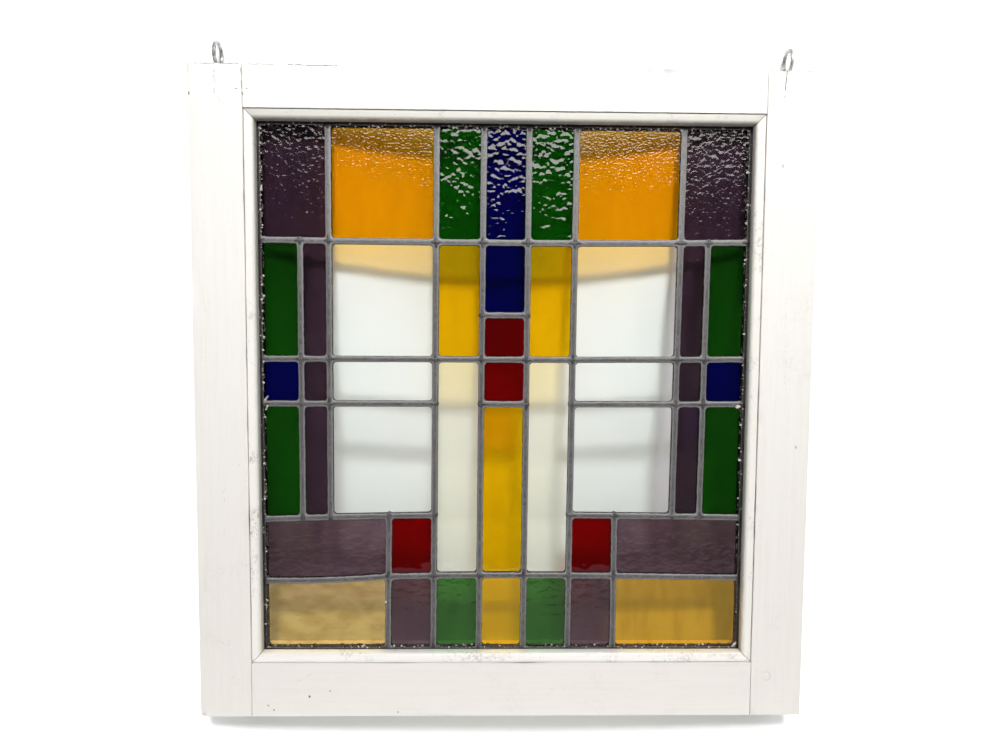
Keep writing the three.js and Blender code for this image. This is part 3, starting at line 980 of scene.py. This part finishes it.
@dataclass
class Pane:
    """One pane, as the CAD has it.

    Args:
        node: Its CAD node.
    """

    node: str
    corners: list[Vector] = field(init=False)
    sides: list[list[Vector]] = field(init=False)

    def __post_init__(self) -> None:
        """Reads the pane's outline: its corners anticlockwise from the lower left, and its sides."""
        low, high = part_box(self.node)
        seen: dict[tuple[int, int], Vector] = {}
        for vert in NODES[self.node].data.vertices:
            if vert.co.y < low.y + 1e-5:
                seen[(round(vert.co.x * 1e6), round(vert.co.z * 1e6))] = Vector((vert.co.x, vert.co.z))
        middle = Vector(((low.x + high.x) / 2, (low.z + high.z) / 2))
        ring = sorted(seen.values(), key=lambda p: math.atan2(p.y - middle.y, p.x - middle.x))
        box = ((low.x, low.z), (high.x, low.z), (high.x, high.z), (low.x, high.z))
        corner_at = [min(range(len(ring)), key=lambda i, c=c: (ring[i] - Vector(c)).length) for c in box]
        self.corners = [ring[i] for i in corner_at]
        self.sides = []
        for a, b in zip(corner_at, corner_at[1:] + corner_at[:1]):
            run = [ring[a]]
            while a != b:
                a = (a + 1) % len(ring)
                run.append(ring[a])
            self.sides.append(run)

    def along(self, side: int, share: float) -> Vector:
        """The point a share of the way along a side, counted anticlockwise from the lower left."""
        run = self.sides[side]
        lengths = [(b - a).length for a, b in zip(run, run[1:])]
        left = share * sum(lengths)
        for a, b, length in zip(run, run[1:], lengths):
            if left <= length or b is run[-1]:
                return a.lerp(b, min(1.0, left / length))
            left -= length
        return run[-1]

    def at(self, u: float, v: float) -> Vector:
        """The point u across and v up, where the pane's own edges are 0 and 1."""
        low, right = self.along(0, u), self.along(1, v)
        high, left = self.along(2, 1 - u), self.along(3, 1 - v)
        c = self.corners
        flat = c[0] * (1 - u) * (1 - v) + c[1] * u * (1 - v) + c[2] * u * v + c[3] * (1 - u) * v
        return low * (1 - v) + high * v + left * (1 - u) + right * u - flat

    def covers(self, point: Vector) -> bool:
        """Whether a point across and up is on the pane."""
        low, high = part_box(self.node)
        return low.x < point.x < high.x and low.z < point.y < high.z


@dataclass
class LeadLattice:
    """The lead cames between the panes, and the solder at every joint.

    Args:
        panes: All the panes.
        heart: From a pane's edge to the middle of the came, in millimetres.
        profile: Across the face from the middle out: the distance, and the half thickness there.
        fillet: How far solder rounds each corner of a pane's opening, in millimetres.
        border_reach: The share of its lap that the border came has over the glass.
        near: How far from each corner the closest cuts along a came lie, in millimetres.
        border_shape: Across the border's outer half: the distance out, and how far front of the middle.
        middle: Where the middle of the panes' thickness lies, front to back, in metres.
    """

    panes: list[Pane]
    heart: float = 1.15
    profile: tuple[Point, ...] = (
        (0.0, 3.75), (0.9, 3.7), (1.9, 3.45), (2.7, 3.1), (3.2, 2.75), (3.4, 2.4), (3.38, 1.75), (0.9, 1.72)
    )
    fillet: float = 1.3
    border_reach: float = 0.45
    near: tuple[float, ...] = (0.0, 1.4, 3.0, 5.0, 7.5, 11.0)
    border_shape: tuple[Point, ...] = (
        (-0.3, 3.7), (0.9, 3.6), (2.2, 3.0), (3.0, 2.4), (3.0, -2.4), (2.2, -3.0), (0.9, -3.6), (-0.3, -3.7)
    )
    middle: float = (GLASS_FRONT + GLASS_BACK) / 2

    def on_border(self, pane: Pane, side: int) -> bool:
        """Whether a side of a pane, counted anticlockwise from the lower one, lies along the beads."""
        axis, pick = ((1, min), (0, max), (1, max), (0, min))[side % 4]
        outermost = pick(pick(c[axis] for c in p.corners) for p in self.panes)
        return abs(pick(c[axis] for c in pane.corners) - outermost) < 6 * MM

    def stations(self, pane: Pane) -> list[tuple[Vector, Vector, float, float]]:
        """Places round a pane.

        Args:
            pane: The pane.

        Returns:
            For each place: the point on the came's middle line, the way inwards, the solder's pull there,
            and the share of its full width that the came has.
        """
        found = []
        runs = [(pane.corners[(side + 1) % 4] - pane.corners[side]).normalized() for side in range(4)]
        inwards = [Vector((-run.y, run.x)) for run in runs]
        for side, run in enumerate(runs):
            here, before, after = inwards[side], inwards[side - 1], inwards[(side + 1) % 4]
            length = (pane.corners[(side + 1) % 4] - pane.corners[side]).length / MM
            marks = [s for s in self.near if s < length / 2]
            gap = length - 2 * marks[-1]
            steps = max(1, round(gap / 7.0))
            spots = marks + [marks[-1] + gap * i / steps for i in range(1, steps)]
            spots += [length - s for s in reversed(marks) if s > 0]
            for s in spots:
                near_start, near_end = max(0.0, 1 - s / 6), max(0.0, 1 - (length - s) / 6)
                way = here + run * (near_start * (run @ before)) + run * (near_end * (run @ after))
                share = self.border_reach if self.on_border(pane, side) else 1.0
                if s == 0 and self.on_border(pane, side - 1):
                    share = min(share, 0.5 + self.border_reach / 2)
                line = pane.along(side, s / length) - way * (self.heart * MM)
                found.append((line, way, max(near_start, near_end) ** 2, share))
        return found

    def uneven(self, x: float, z: float) -> float:
        """How much higher than drawn the lead stands at a place, in metres."""
        slow = noise.noise(Vector((x, 0.3, z)) / 0.011)
        quick = noise.noise(Vector((x, 1.7, z)) / 0.0035)
        return MM * (0.16 * slow + 0.08 * quick)

    def frame_pane(self, shape: Shape, pane: Pane) -> None:
        """Adds the half cames that frame one pane, front and back."""
        for facing in (-1, 1):
            rows = []
            for line, way, pull, share in self.stations(pane):
                row = []
                for t, half in self.profile:
                    reach = t * (share if facing < 0 else 1.0) + self.fillet * pull * (t / 3.4) ** 2
                    spot = line + way * (reach * MM)
                    lift = self.uneven(spot.x, spot.y) if half > 2.0 else 0.0
                    row.append(Vector((spot.x, self.middle + facing * (half * MM + lift), spot.y)))
                rows.append(row)
            shape.grid(rows, BACK if facing < 0 else BACK[::-1], loop=True)

    def border(self, shape: Shape) -> None:
        """Adds the outer half of the border came, which runs under the beads."""
        low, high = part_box("lead_cames")
        x0, x1 = min(p.corners[0].x for p in self.panes), max(p.corners[1].x for p in self.panes)
        z0, z1 = min(p.corners[0].y for p in self.panes), max(p.corners[2].y for p in self.panes)
        inner = self.heart * MM - 0.3 * MM
        rows = []
        for out, half in self.border_shape:
            share = (out + 0.3) / 3.3
            left = (x0 - inner) * (1 - share) + low.x * share
            right = (x1 + inner) * (1 - share) + high.x * share
            foot = (z0 - inner) * (1 - share) + low.z * share
            head = (z1 + inner) * (1 - share) + high.z * share
            y = self.middle - half * MM
            corners = ((left, foot), (right, foot), (right, head), (left, head))
            rows.append([Vector((x, y, z)) for x, z in corners])
        shape.grid(rows, BACK, ring=True)

    def joints(self) -> list[Vector]:
        """The places where cames meet, across and up."""
        spots: list[list[Vector]] = []
        for pane in self.panes:
            for corner, sign in zip(pane.corners, ((-1, -1), (1, -1), (1, 1), (-1, 1))):
                spot = corner + Vector(sign) * (self.heart * MM)
                for group in spots:
                    if (group[0] - spot).length < 5 * MM:
                        group.append(spot)
                        break
                else:
                    spots.append([spot])
        return [sum(group, Vector((0, 0))) / len(group) for group in spots]

    def lump(self, shape: Shape, centre: Vector, seed: random.Random) -> None:
        """Adds the solder on the front and the back of one joint.

        Args:
            shape: The solder so far.
            centre: The joint, across and up.
            seed: Where the lump's own form comes from.
        """
        arms = []
        for k in range(4):
            way = Vector((math.cos(k * math.pi / 2), math.sin(k * math.pi / 2)))
            if not any(p.covers(centre + way * 0.013) for p in self.panes):
                arms.append((way, seed.uniform(5.5, 9.0)))
        turns, rings, core = 36, 6, 4.0
        for facing in (-1, 1):
            height = seed.uniform(0.35, 0.75)
            rows = []
            for share in (r / rings for r in range(rings + 1)):
                row = []
                for angle in (2 * math.pi * a / turns for a in range(turns)):
                    way = Vector((math.cos(angle), math.sin(angle)))
                    reach = core
                    for arm, length in arms:
                        turn = math.acos(max(-1.0, min(1.0, way @ arm)))
                        reach = max(reach, core + (length - core) * math.exp(-((turn / 0.36) ** 2)))
                    reach *= 1 + 0.1 * noise.noise(Vector((centre.x * 900, angle * 1.3, centre.y * 900)))
                    spot = centre + way * (reach * share * MM)
                    off = spot - centre
                    across = min((abs(off.x * arm.y - off.y * arm.x) for arm, _ in arms), default=0.0) / MM
                    here = 3.75 - 1.2 * min(1.0, across / 3.6) ** 2.2
                    dome = height * (1 - share**2) - 0.25 * share**6
                    rough = 0.16 * noise.noise(Vector((spot.x, 0.9 * facing, spot.y)) / 0.0028)
                    y = self.middle + facing * (here + dome + rough * (1 - share**4)) * MM
                    row.append(Vector((spot.x, y, spot.y)))
                rows.append(row)
            shape.grid(rows, BACK[::-1] if facing < 0 else BACK, ring=True)

    def clean_part(self) -> tuple[Point, Point]:
        """The lowest and highest X, and Z, of the part that the border's black putty leaves clean."""
        lap = (3.3 * self.border_reach - self.heart) * MM
        xs = [c.x for p in self.panes for c in p.corners]
        zs = [c.y for p in self.panes for c in p.corners]
        return (min(xs) + lap, max(xs) - lap), (min(zs) + lap, max(zs) - lap)

    def build(self) -> None:
        """Makes the cames and the solder."""
        cames = Shape()
        for pane in self.panes:
            self.frame_pane(cames, pane)
        self.border(cames)
        inside = self.clean_part()
        # The crown gives each came a paler edge, partly painted highlight, and a black foot, partly painted
        # shade.
        lead = MetalFinish(
            "old_lead", (0.042, 0.04, 0.041), (0.168, 0.165, 0.163), (0.46, 0.7), 0.2, 0.34, inside,
            crown=(self.middle, 3.1 * MM),
        )
        cames.piece("lead_lattice", lead.material(), "lead", ["lead_cames"])
        solder = MetalFinish(
            "old_solder", (0.02, 0.019, 0.02), (0.15, 0.145, 0.147), (0.34, 0.55), 0.45, 0.55, inside
        )
        lumps = Shape()
        seed = random.Random(7)
        for joint in self.joints():
            self.lump(lumps, joint, seed)
        lumps.piece("solder_joints", solder.material(), "lead")


PURPLE = GlassFinish(
    "purple_rippled", "purple_glass", (0.066, 0.038, 0.058), (0.45, 0.36, 0.45), (0.035, 0.014, 0.028),
    streaks=0.35, grain=0.16, waves=0.3,
)
PALE_PURPLE = replace(
    PURPLE, name="purple_brushed", colour=(0.165, 0.10, 0.125), streak=(0.075, 0.042, 0.055), grain=0.12
)
ORANGE = GlassFinish(
    "orange_stippled", "orange_glass", (0.76, 0.43, 0.0), (0.8, 0.47, 0.07), (0.5, 0.26, 0.0),
    streaks=0.15, grain=0.05, waves=0.2,
)
DEEP_GREEN = GlassFinish(
    "green_hammered", "green_glass", (0.003, 0.112, 0.001), (0.29, 0.36, 0.2), (0.0, 0.068, 0.0),
    grain=0.08, waves=0.2,
)
GREEN = GlassFinish(
    "green_smooth", "green_glass", (0.007, 0.085, 0.003), (0.32, 0.40, 0.30), (0.0, 0.055, 0.0), streaks=0.25
)
LEAF_GREEN = GlassFinish(
    "green_brushed", "green_glass", (0.055, 0.2, 0.032), (0.3, 0.65, 0.28), (0.02, 0.1, 0.01),
    streaks=0.4, grain=0.06,
)
BLUE = GlassFinish("blue_glass", "blue_glass", (0.0, 0.001, 0.105), (0.15, 0.15, 0.55), (0.0, 0.0, 0.06), 0.2)
HAMMERED_BLUE = replace(BLUE, name="blue_hammered", grain=0.1)
RED = GlassFinish("red_glass", "red_glass", (0.19, 0.0, 0.001), (0.58, 0.2, 0.12), (0.12, 0.0, 0.0), 0.2)
YELLOW = GlassFinish(
    "yellow_glass", "yellow_glass", (0.82, 0.5, 0.001), (0.95, 0.8, 0.35), (0.68, 0.38, 0.0), 0.25
)
AMBER = GlassFinish("amber_glass", "amber_glass", (0.86, 0.53, 0.045), (0.95, 0.8, 0.45), (0.45, 0.24, 0.01))
PALE_AMBER = GlassFinish(
    "pale_amber_glass", "pale_amber_glass", (0.90, 0.67, 0.27), (0.95, 0.85, 0.6), (0.58, 0.39, 0.12),
    streaks=0.65, grain=0.1, drawn=(0.6, 1.0, 1.2),
)
# Clear glass tinted yellow: painted light, standing in for the yellow light that nearby yellow panes cast on
# the paper behind these panes.
YELLOW_LIT_CLEAR = GlassFinish(
    "yellow_lit_clear_glass", "clear_glass", (0.92, 0.925, 0.875), (0.96, 0.98, 0.9), (0.9, 0.9, 0.78)
)
CLEAR = GlassFinish(
    "clear_glass", "clear_glass", (0.925, 0.955, 0.955), (0.96, 0.98, 0.99), (0.88, 0.92, 0.91)
)

# The finish of each colour of pane, and of the rows and panes that differ from it.
GLASS: dict[str, tuple[GlassFinish, Relief]] = {
    "purple": (PURPLE, Relief.RIPPLED),
    "purple e": (PALE_PURPLE, Relief.BRUSHED),
    "purple f": (PALE_PURPLE, Relief.BRUSHED),
    "orange": (ORANGE, Relief.STIPPLED),
    "green": (GREEN, Relief.SMOOTH),
    "green a": (DEEP_GREEN, Relief.HAMMERED),
    "green f": (LEAF_GREEN, Relief.BRUSHED),
    "blue": (BLUE, Relief.SMOOTH),
    "blue a": (HAMMERED_BLUE, Relief.HAMMERED),
    "red": (RED, Relief.SMOOTH),
    "yellow": (YELLOW, Relief.SMOOTH),
    "amber": (AMBER, Relief.SMOOTH),
    "pale_amber": (PALE_AMBER, Relief.SMOOTH),
    "clear": (CLEAR, Relief.SMOOTH),
    # The tall clear panes c4 and c6 take the yellow tinted glass, as painted yellow light.
    "clear c4": (YELLOW_LIT_CLEAR, Relief.SMOOTH),
    "clear c6": (YELLOW_LIT_CLEAR, Relief.SMOOTH),
}


def crowd(height: float, steep: float, line: float, least: float) -> float:
    """How closely a relief is packed at a height: full above a line, and thinning below it.

    Args:
        height: The height, in metres.
        steep: How fast it thins.
        line: The line's height above the middle of the sash, in metres.
        least: The least it thins to.

    Returns:
        The packing, from least to 1.
    """
    return min(1.0, max(least, 1.0 + steep * (height - MIDDLE_Z - line)))


@dataclass
class Glazing:
    """All the glass: which finish and which surface each pane has.

    Args:
        panes: All the panes.
        grid: The distance between the points of each relief, in millimetres.
        seed: Where the hammered relief comes from: noise_vector is different in every run until it is set.
    """

    panes: list[Pane]
    grid: dict[Relief, float] = field(
        default_factory=lambda: {
            Relief.HAMMERED: 0.8, Relief.STIPPLED: 0.7, Relief.RIPPLED: 0.8, Relief.BRUSHED: 1.2
        }
    )
    seed: int = 5

    def kind(self, node: str) -> tuple[GlassFinish, Relief]:
        """The finish and the surface of a pane, from its row, its number in the row and its colour."""
        _, spot, colour = node.split("_", 2)
        plain = GLASS[colour]
        return GLASS.get(f"{colour} {spot}", GLASS.get(f"{colour} {spot[0]}", plain))

    def dip(self, relief: Relief, x: float, z: float) -> float:
        """How far the front face lies behind its highest points, in metres.

        Args:
            relief: The kind of surface.
            x: Across, in metres.
            z: Up, in metres.

        Returns:
            The depth of the dip.
        """

        def waves(layer: float, length: float, squeeze: float = 1.0) -> float:
            """Smooth noise of a length in metres."""
            return noise.noise(Vector((x * squeeze, layer, z)) / length)

        if relief is Relief.HAMMERED:
            warp = noise.noise_vector(Vector((x, 3.0, z)) / 0.006) * 0.25
            near = noise.voronoi(Vector((x, 0.0, z)) / 0.0062 + Vector((warp.x, 0.0, warp.z)))[0]
            packed = min(1.0, max(0.25, 0.7 + 0.9 * waves(2.0, 0.019))) * crowd(z, 7.0, 0.24, 0.27)
            dome = 1.25 * min(0.8, near[0] ** 1.6)
            return MM * (0.18 + packed * (dome + 0.15 * waves(7.0, 0.0034) + 0.07 * waves(5.0, 0.0022)))
        if relief is Relief.STIPPLED:
            return MM * (0.3 + 0.25 * crowd(z, 9.0, 0.27, 0.58) * waves(4.0, 0.0017))
        if relief is Relief.RIPPLED:
            packed = min(1.0, max(0.3, 0.5 + 7.0 * (z - MIDDLE_Z - 0.2)))
            long, short = waves(6.0, 0.0048), waves(6.0, 0.0019)
            return MM * (0.4 + packed * 0.36 * long + (0.24 + 0.02 * packed) * short)
        return MM * (0.35 + 0.16 * waves(8.0, 0.0065, 0.6) + 0.14 * waves(8.0, 0.0028, 0.7))

    def textured(self, pane: Pane, relief: Relief) -> Shape:
        """A pane with its relief in its front face.

        Args:
            pane: The pane.
            relief: The kind of surface.

        Returns:
            Its points and faces.
        """
        low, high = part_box(pane.node)
        columns = max(4, round((high.x - low.x) / (self.grid[relief] * MM)))
        rows = max(4, round((high.z - low.z) / (self.grid[relief] * MM)))
        face = []
        for j in range(rows + 1):
            spots = [pane.at(i / columns, j / rows) for i in range(columns + 1)]
            face.append([Vector((s.x, low.y + max(0.0, self.dip(relief, s.x, s.y)), s.y)) for s in spots])
        shape = Shape()
        shape.grid(face)
        width = columns + 1
        rim = [i for i in range(columns)] + [j * width + columns for j in range(rows)]
        rim += [rows * width + i for i in range(columns, 0, -1)] + [j * width for j in range(rows, 0, -1)]
        base, count = len(shape.verts), len(rim)
        shape.verts += [Vector((shape.verts[i].x, high.y, shape.verts[i].z)) for i in rim]
        for i in range(count):
            j = (i + 1) % count
            shape.faces.append((rim[j], rim[i], base + i, base + j))
        shape.faces.append(tuple(base + i for i in reversed(range(count))))
        return shape

    def build(self) -> None:
        """Glazes the window: plain panes keep their CAD shape, and textured ones are made again."""
        noise.seed_set(self.seed)
        made: dict[str, bpy.types.Material] = {}
        for pane in self.panes:
            finish, relief = self.kind(pane.node)
            if finish.name not in made:
                made[finish.name] = finish.material()
            material = made[finish.name]
            if relief is Relief.SMOOTH:
                mesh = NODES[pane.node].data
                mesh.materials.clear()
                mesh.materials.append(material)
                log.info("%s: %s", pane.node, finish.name)
                continue
            name = f"{pane.node}_{relief.value}"
            self.textured(pane, relief).piece(name, material, finish.slot, [pane.node])


@dataclass
class Putty:
    """Putty and paint left on the border came: specks, smears, one round dab and a ragged black edge.

    Args:
        pale: How many pale specks there are.
        dark: How many dark ones lie along the beads.
        ragged: How many dark ones lie along the edge of the glass.
        border: The width of the came between the beads and the glass, in millimetres.
        dabs: The larger ones: across and up, half length, half width, in millimetres, and their turn.
        low: The lower left corner inside the beads, across and up, in metres.
        high: The upper right corner inside them.
        crown: Where the face of the border came lies, front to back, in metres.
        sides: The sides of the panel.
    """

    pale: int = 900
    dark: int = 420
    ragged: int = 330
    border: float = 4.6
    dabs: tuple[tuple[float, ...], ...] = (
        (-259.0, -1.0, 5.5, 1.3, 0.9), (-261.5, -6.0, 3.0, 1.2, 0.7), (-257.5, -9.5, 4.0, 1.0, 1.2),
        (256.6, -6.0, 3.6, 3.4, 0.0), (259.6, -275.0, 5.0, 1.4, 0.8), (-260.5, 40.0, 2.6, 1.2, 1.0),
        (-262.5, -229.0, 3.0, 1.2, -0.6), (-130.0, -226.5, 2.2, 1.0, 1.2),
    )
    low: Point = (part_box("bead_left")[1].x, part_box("bead_bottom")[1].z)
    high: Point = (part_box("bead_right")[0].x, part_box("bead_top")[0].z)
    crown: float = (GLASS_FRONT + GLASS_BACK) / 2 - 3.4 * MM
    sides: tuple[str, ...] = ("left", "right", "top", "bottom")

    def spot(self, side: str, off: float, right: float, up: float) -> Point:
        """A place along the border.

        Args:
            side: The side of the panel.
            off: How far in from that side's bead, in metres.
            right: The share of the way across, for the top and the bottom.
            up: The share of the way up, for the sides.

        Returns:
            Across and up, in metres.
        """
        (x0, z0), (x1, z1) = self.low, self.high
        if side in ("left", "right"):
            return (x0 + off if side == "left" else x1 - off), z0 + (z1 - z0) * up
        return x0 + (x1 - x0) * right, (z1 - off if side == "top" else z0 + off)

    def turn(self, side: str, by: float) -> float:
        """The angle of a side's own line, turned by so much more."""
        return (math.pi / 2 if side in ("left", "right") else 0.0) + by

    def build(self) -> None:
        """Scatters flattened lumps along the strip between the beads and the glass."""
        seed = random.Random(11)
        specks, fringe = Shape(), Shape()
        for _ in range(self.pale):
            off = seed.uniform(0.0, self.border) * MM
            side = seed.choices(self.sides, (4, 3, 4, 2))[0]
            share = seed.random()
            x, z = self.spot(side, off, share, 1 - share**1.5)
            size = 0.35 + 1.3 * seed.random() ** 2
            wide = size * seed.uniform(0.5, 1.0)
            self.blob(specks, Vector((x, self.crown, z)), size, wide, seed.uniform(0, math.pi))
        for x, z, long, wide, turn in self.dabs:
            self.blob(specks, Vector((x * MM, self.crown, MIDDLE_Z + z * MM)), long, wide, turn)
        for _ in range(self.dark):
            side, share, off = seed.choice(self.sides), seed.random(), seed.uniform(-1.0, 0.8) * MM
            x, z = self.spot(side, off, share, share)
            long = seed.uniform(0.7, 2.2)
            turn = self.turn(side, seed.uniform(-0.3, 0.3))
            foot = Vector((x, self.crown - seed.uniform(0.2, 1.4) * MM, z))
            self.blob(fringe, foot, long, seed.uniform(0.3, 0.8), turn)
        for _ in range(self.ragged):
            side, share = seed.choice(self.sides), seed.random()
            off = (self.border + seed.uniform(-0.9, 0.1)) * MM
            x, z = self.spot(side, off, share, share**1.3)
            turn = self.turn(side, seed.uniform(-0.4, 0.4))
            foot = Vector((x, GLASS_FRONT - 0.1 * MM, z))
            self.blob(fringe, foot, seed.uniform(0.8, 3.0), seed.uniform(0.4, 0.9), turn)
        old = PlainFinish("old_putty", (0.66, 0.62, 0.57), (0.20, 0.16, 0.14), 240.0, 0.8, 0.2)
        black = PlainFinish("black_putty", (0.025, 0.022, 0.02), (0.08, 0.065, 0.055), 300.0, 0.9, 0.2)
        specks.piece("putty_specks", old.material(), "painted_wood")
        fringe.piece("putty_fringe", black.material(), "painted_wood")

    def blob(self, shape: Shape, centre: Vector, long: float, wide: float, turn: float) -> None:
        """Adds one flattened lump.

        Args:
            shape: The lumps so far.
            centre: The middle of its foot, in the frame.
            long: Half its length, in millimetres.
            wide: Half its width, in millimetres.
            turn: The angle of its length above the level.
        """
        turns = 9
        rows = []
        for share, height in ((1.0, -0.25), (0.75, 0.12), (0.35, 0.28)):
            row = []
            for angle in (2 * math.pi * i / turns for i in range(turns)):
                bump = 1 + 0.3 * noise.noise(Vector((centre.x * 800, angle, centre.z * 800)))
                a, b = math.cos(angle) * long * share * bump, math.sin(angle) * wide * share * bump
                x = a * math.cos(turn) - b * math.sin(turn)
                z = a * math.sin(turn) + b * math.cos(turn)
                row.append(centre + Vector((x, -height * min(1.6, wide), z)) * MM)
            rows.append(row)
        base = shape.grid(rows, ring=True)
        shape.faces.append(tuple(base + 2 * turns + i for i in range(turns)))


# ---------------------------------------------------------------- the studio


@dataclass
class Lamp:
    """A soft light.

    Args:
        name: Its name.
        spot: Where it is, in metres from the middle of the window.
        size: Its width and height, in metres.
        power: Its power, in watts.
        colour: Its colour.
        lights: Whether it lights what it falls on.
        mirrored: Whether it shows in gloss and glass.
    """

    name: str
    spot: tuple[float, float, float]
    size: tuple[float, float]
    power: float
    colour: Colour = (1.0, 1.0, 1.0)
    lights: bool = True
    mirrored: bool = True

    def build(self) -> None:
        """Hangs the lamp and points it at the middle of the window."""
        light = bpy.data.lights.new(self.name, "AREA")
        light.shape = "ELLIPSE"
        light.size, light.size_y = self.size
        light.energy = self.power
        light.color = self.colour
        lamp = bpy.data.objects.new(self.name, light)
        target = Vector((0, 0, MIDDLE_Z))
        lamp.location = target + Vector(self.spot)
        lamp.visible_diffuse = self.lights
        lamp.visible_glossy = self.mirrored
        lamp.visible_transmission = self.mirrored
        lamp.rotation_euler = (target - lamp.location).to_track_quat("-Z", "Y").to_euler()
        bpy.context.scene.collection.objects.link(lamp)


@dataclass
class Studio:
    """The camera, the lamps, and one pale sweep of paper for floor and backdrop.

    The paper hangs close behind the head of the sash and stands further off lower down.

    Args:
        camera_spot: Where the camera stands, in metres, in the frame.
        camera_turn: The way it looks, in degrees about X, Y and Z.
        lens: Its focal length, in millimetres.
        behind: From the top down: the height above the sash's middle, and how far behind the glass
            the paper is there, in metres.
        side_curve: How much the paper comes forward to the sides, lower down and higher up.
        nearest: The least distance from the glass to the paper, in metres.
        floor_below: How far the floor is below the sash, in metres.
        floor_front: How far the floor comes forward of the paper's foot, in metres.
        turn: The radius of the bend between floor and backdrop, in metres.
        table_depth: How far the grey table comes forward of that, in metres.
        lamps: The lamps.
    """

    camera_spot: tuple[float, float, float] = (-0.0165, -0.8263, -0.2840)
    camera_turn: tuple[float, float, float] = (86.093, -0.391, -1.086)
    lens: float = 27.036
    behind: tuple[Point, ...] = (
        (0.600, 0.022), (0.349, 0.045), (0.289, 0.055), (0.200, 0.070), (0.129, 0.086), (-0.030, 0.134),
        (-0.100, 0.159), (-0.180, 0.172), (-0.250, 0.158), (-0.380, 0.090), (-0.500, 0.060), (-0.700, 0.060),
    )
    side_curve: tuple[float, float] = (0.4, 0.76)
    nearest: float = 0.022
    floor_below: float = 0.29
    floor_front: float = 0.6
    turn: float = 0.2
    table_depth: float = 0.86
    lamps: tuple[Lamp, ...] = (
        Lamp("key", (0.08, -1.95, 1.06), (0.26, 0.25), 40.5, mirrored=False),
        Lamp("ceiling", (0.3, -1.58, 1.38), (2.6, 1.32), 70.0, (1.0, 0.97, 0.93), lights=False),
        Lamp("fill_left", (-2.2, -1.3, 0.9), (1.2, 1.2), 4.0),
        Lamp("fill_right", (2.2, -1.3, 0.9), (1.2, 1.2), 5.5),
        Lamp("overhead", (0.1, -0.8, 1.3), (1.4, 0.6), 6.0, mirrored=False),
        Lamp("behind", (-0.3, 1.7, 0.7), (1.6, 1.2), 14.0),
    )

    def paper_depth(self, x: float, z: float) -> float:
        """How far behind the glass the paper is, at a place across and up, in metres."""
        up = z - MIDDLE_Z
        depth = self.behind[0][1] if up > self.behind[-1][0] else self.behind[-1][1]
        for (high, first), (low, second) in zip(self.behind, self.behind[1:]):
            if low <= up <= high:
                depth = first + (second - first) * ((high - up) / (high - low))
        lower, upper = self.side_curve
        curve = lower + (upper - lower) * min(1.0, max(0.0, (up + 0.1) / 0.23))
        return max(self.nearest, depth - curve * x * x)

    def sweep(self) -> None:
        """Lays the paper, a floor, a round turn and the backdrop behind, and the grey table before it."""
        floor = SASH_LOW.z - self.floor_below
        wall = GLASS_FRONT + self.behind[-1][1]
        front = wall - self.floor_front
        bends = [math.pi / 2 * i / 8 for i in range(9)]
        flat = [(front, floor)]
        flat += [(wall - self.turn * (1 - math.sin(a)), floor + self.turn * (1 - math.cos(a))) for a in bends]
        steps = 140
        foot, head = floor + self.turn, SASH_HIGH.z + 0.25
        heights = [foot + (head - foot) * i / steps for i in range(1, steps + 1)]
        heights += [SASH_HIGH.z + 0.4, SASH_HIGH.z + 1.6]
        columns = [-2.5, -1.0] + [-0.6 + 1.2 * i / 90 for i in range(91)] + [1.0, 2.5]
        paper = Shape()
        rows = [[Vector((x, y, z)) for x in columns] for y, z in flat]
        rows += [[Vector((x, GLASS_FRONT + self.paper_depth(x, z), z)) for x in columns] for z in heights]
        paper.grid(rows)
        mesh = paper.mesh("paper")
        mesh.polygons.foreach_set("use_smooth", [True] * len(mesh.polygons))
        add_stage(mesh, PaperFinish().material())
        half = 1.6
        table = Shape()
        edges = (front - self.table_depth, front)
        table.grid([[Vector((-half, y, floor)), Vector((half, y, floor))] for y in edges])
        grey = PlainFinish("grey_table", (0.30, 0.28, 0.31), (0.27, 0.25, 0.28), 4.0)
        add_stage(table.mesh("table"), grey.material())

    def build(self) -> None:
        """Sets up the camera, the light and the paper."""
        scene = bpy.context.scene
        data = bpy.data.cameras.new("camera")
        data.lens = self.lens
        data.sensor_width = 36.0
        data.clip_start = 0.01
        camera = bpy.data.objects.new("camera", data)
        camera.location = self.camera_spot
        camera.rotation_euler = [math.radians(a) for a in self.camera_turn]
        scene.collection.objects.link(camera)
        scene.camera = camera
        scene.view_settings.view_transform = "Standard"
        world = bpy.data.worlds.new("studio")
        world.use_nodes = True
        scene.world = world
        background = world.node_tree.nodes["Background"]
        background.inputs["Color"].default_value = (1.0, 1.0, 1.0, 1.0)
        background.inputs["Strength"].default_value = 0.03
        for lamp in self.lamps:
            lamp.build()
        self.sweep()


def main() -> None:
    """Builds the studio and dresses every part of the window."""
    logging.basicConfig(level=logging.INFO, format="%(name)s: %(message)s")
    Studio().build()
    Sash().build()
    for bead in BEADS:
        bead.build()
    Pegs().build()
    ScrewEyes().build()
    panes = [Pane(name) for name in sorted(NODES) if name.startswith("pane_")]
    LeadLattice(panes).build()
    Glazing(panes).build()
    Putty().build()


if __name__ == "__main__":
    main()
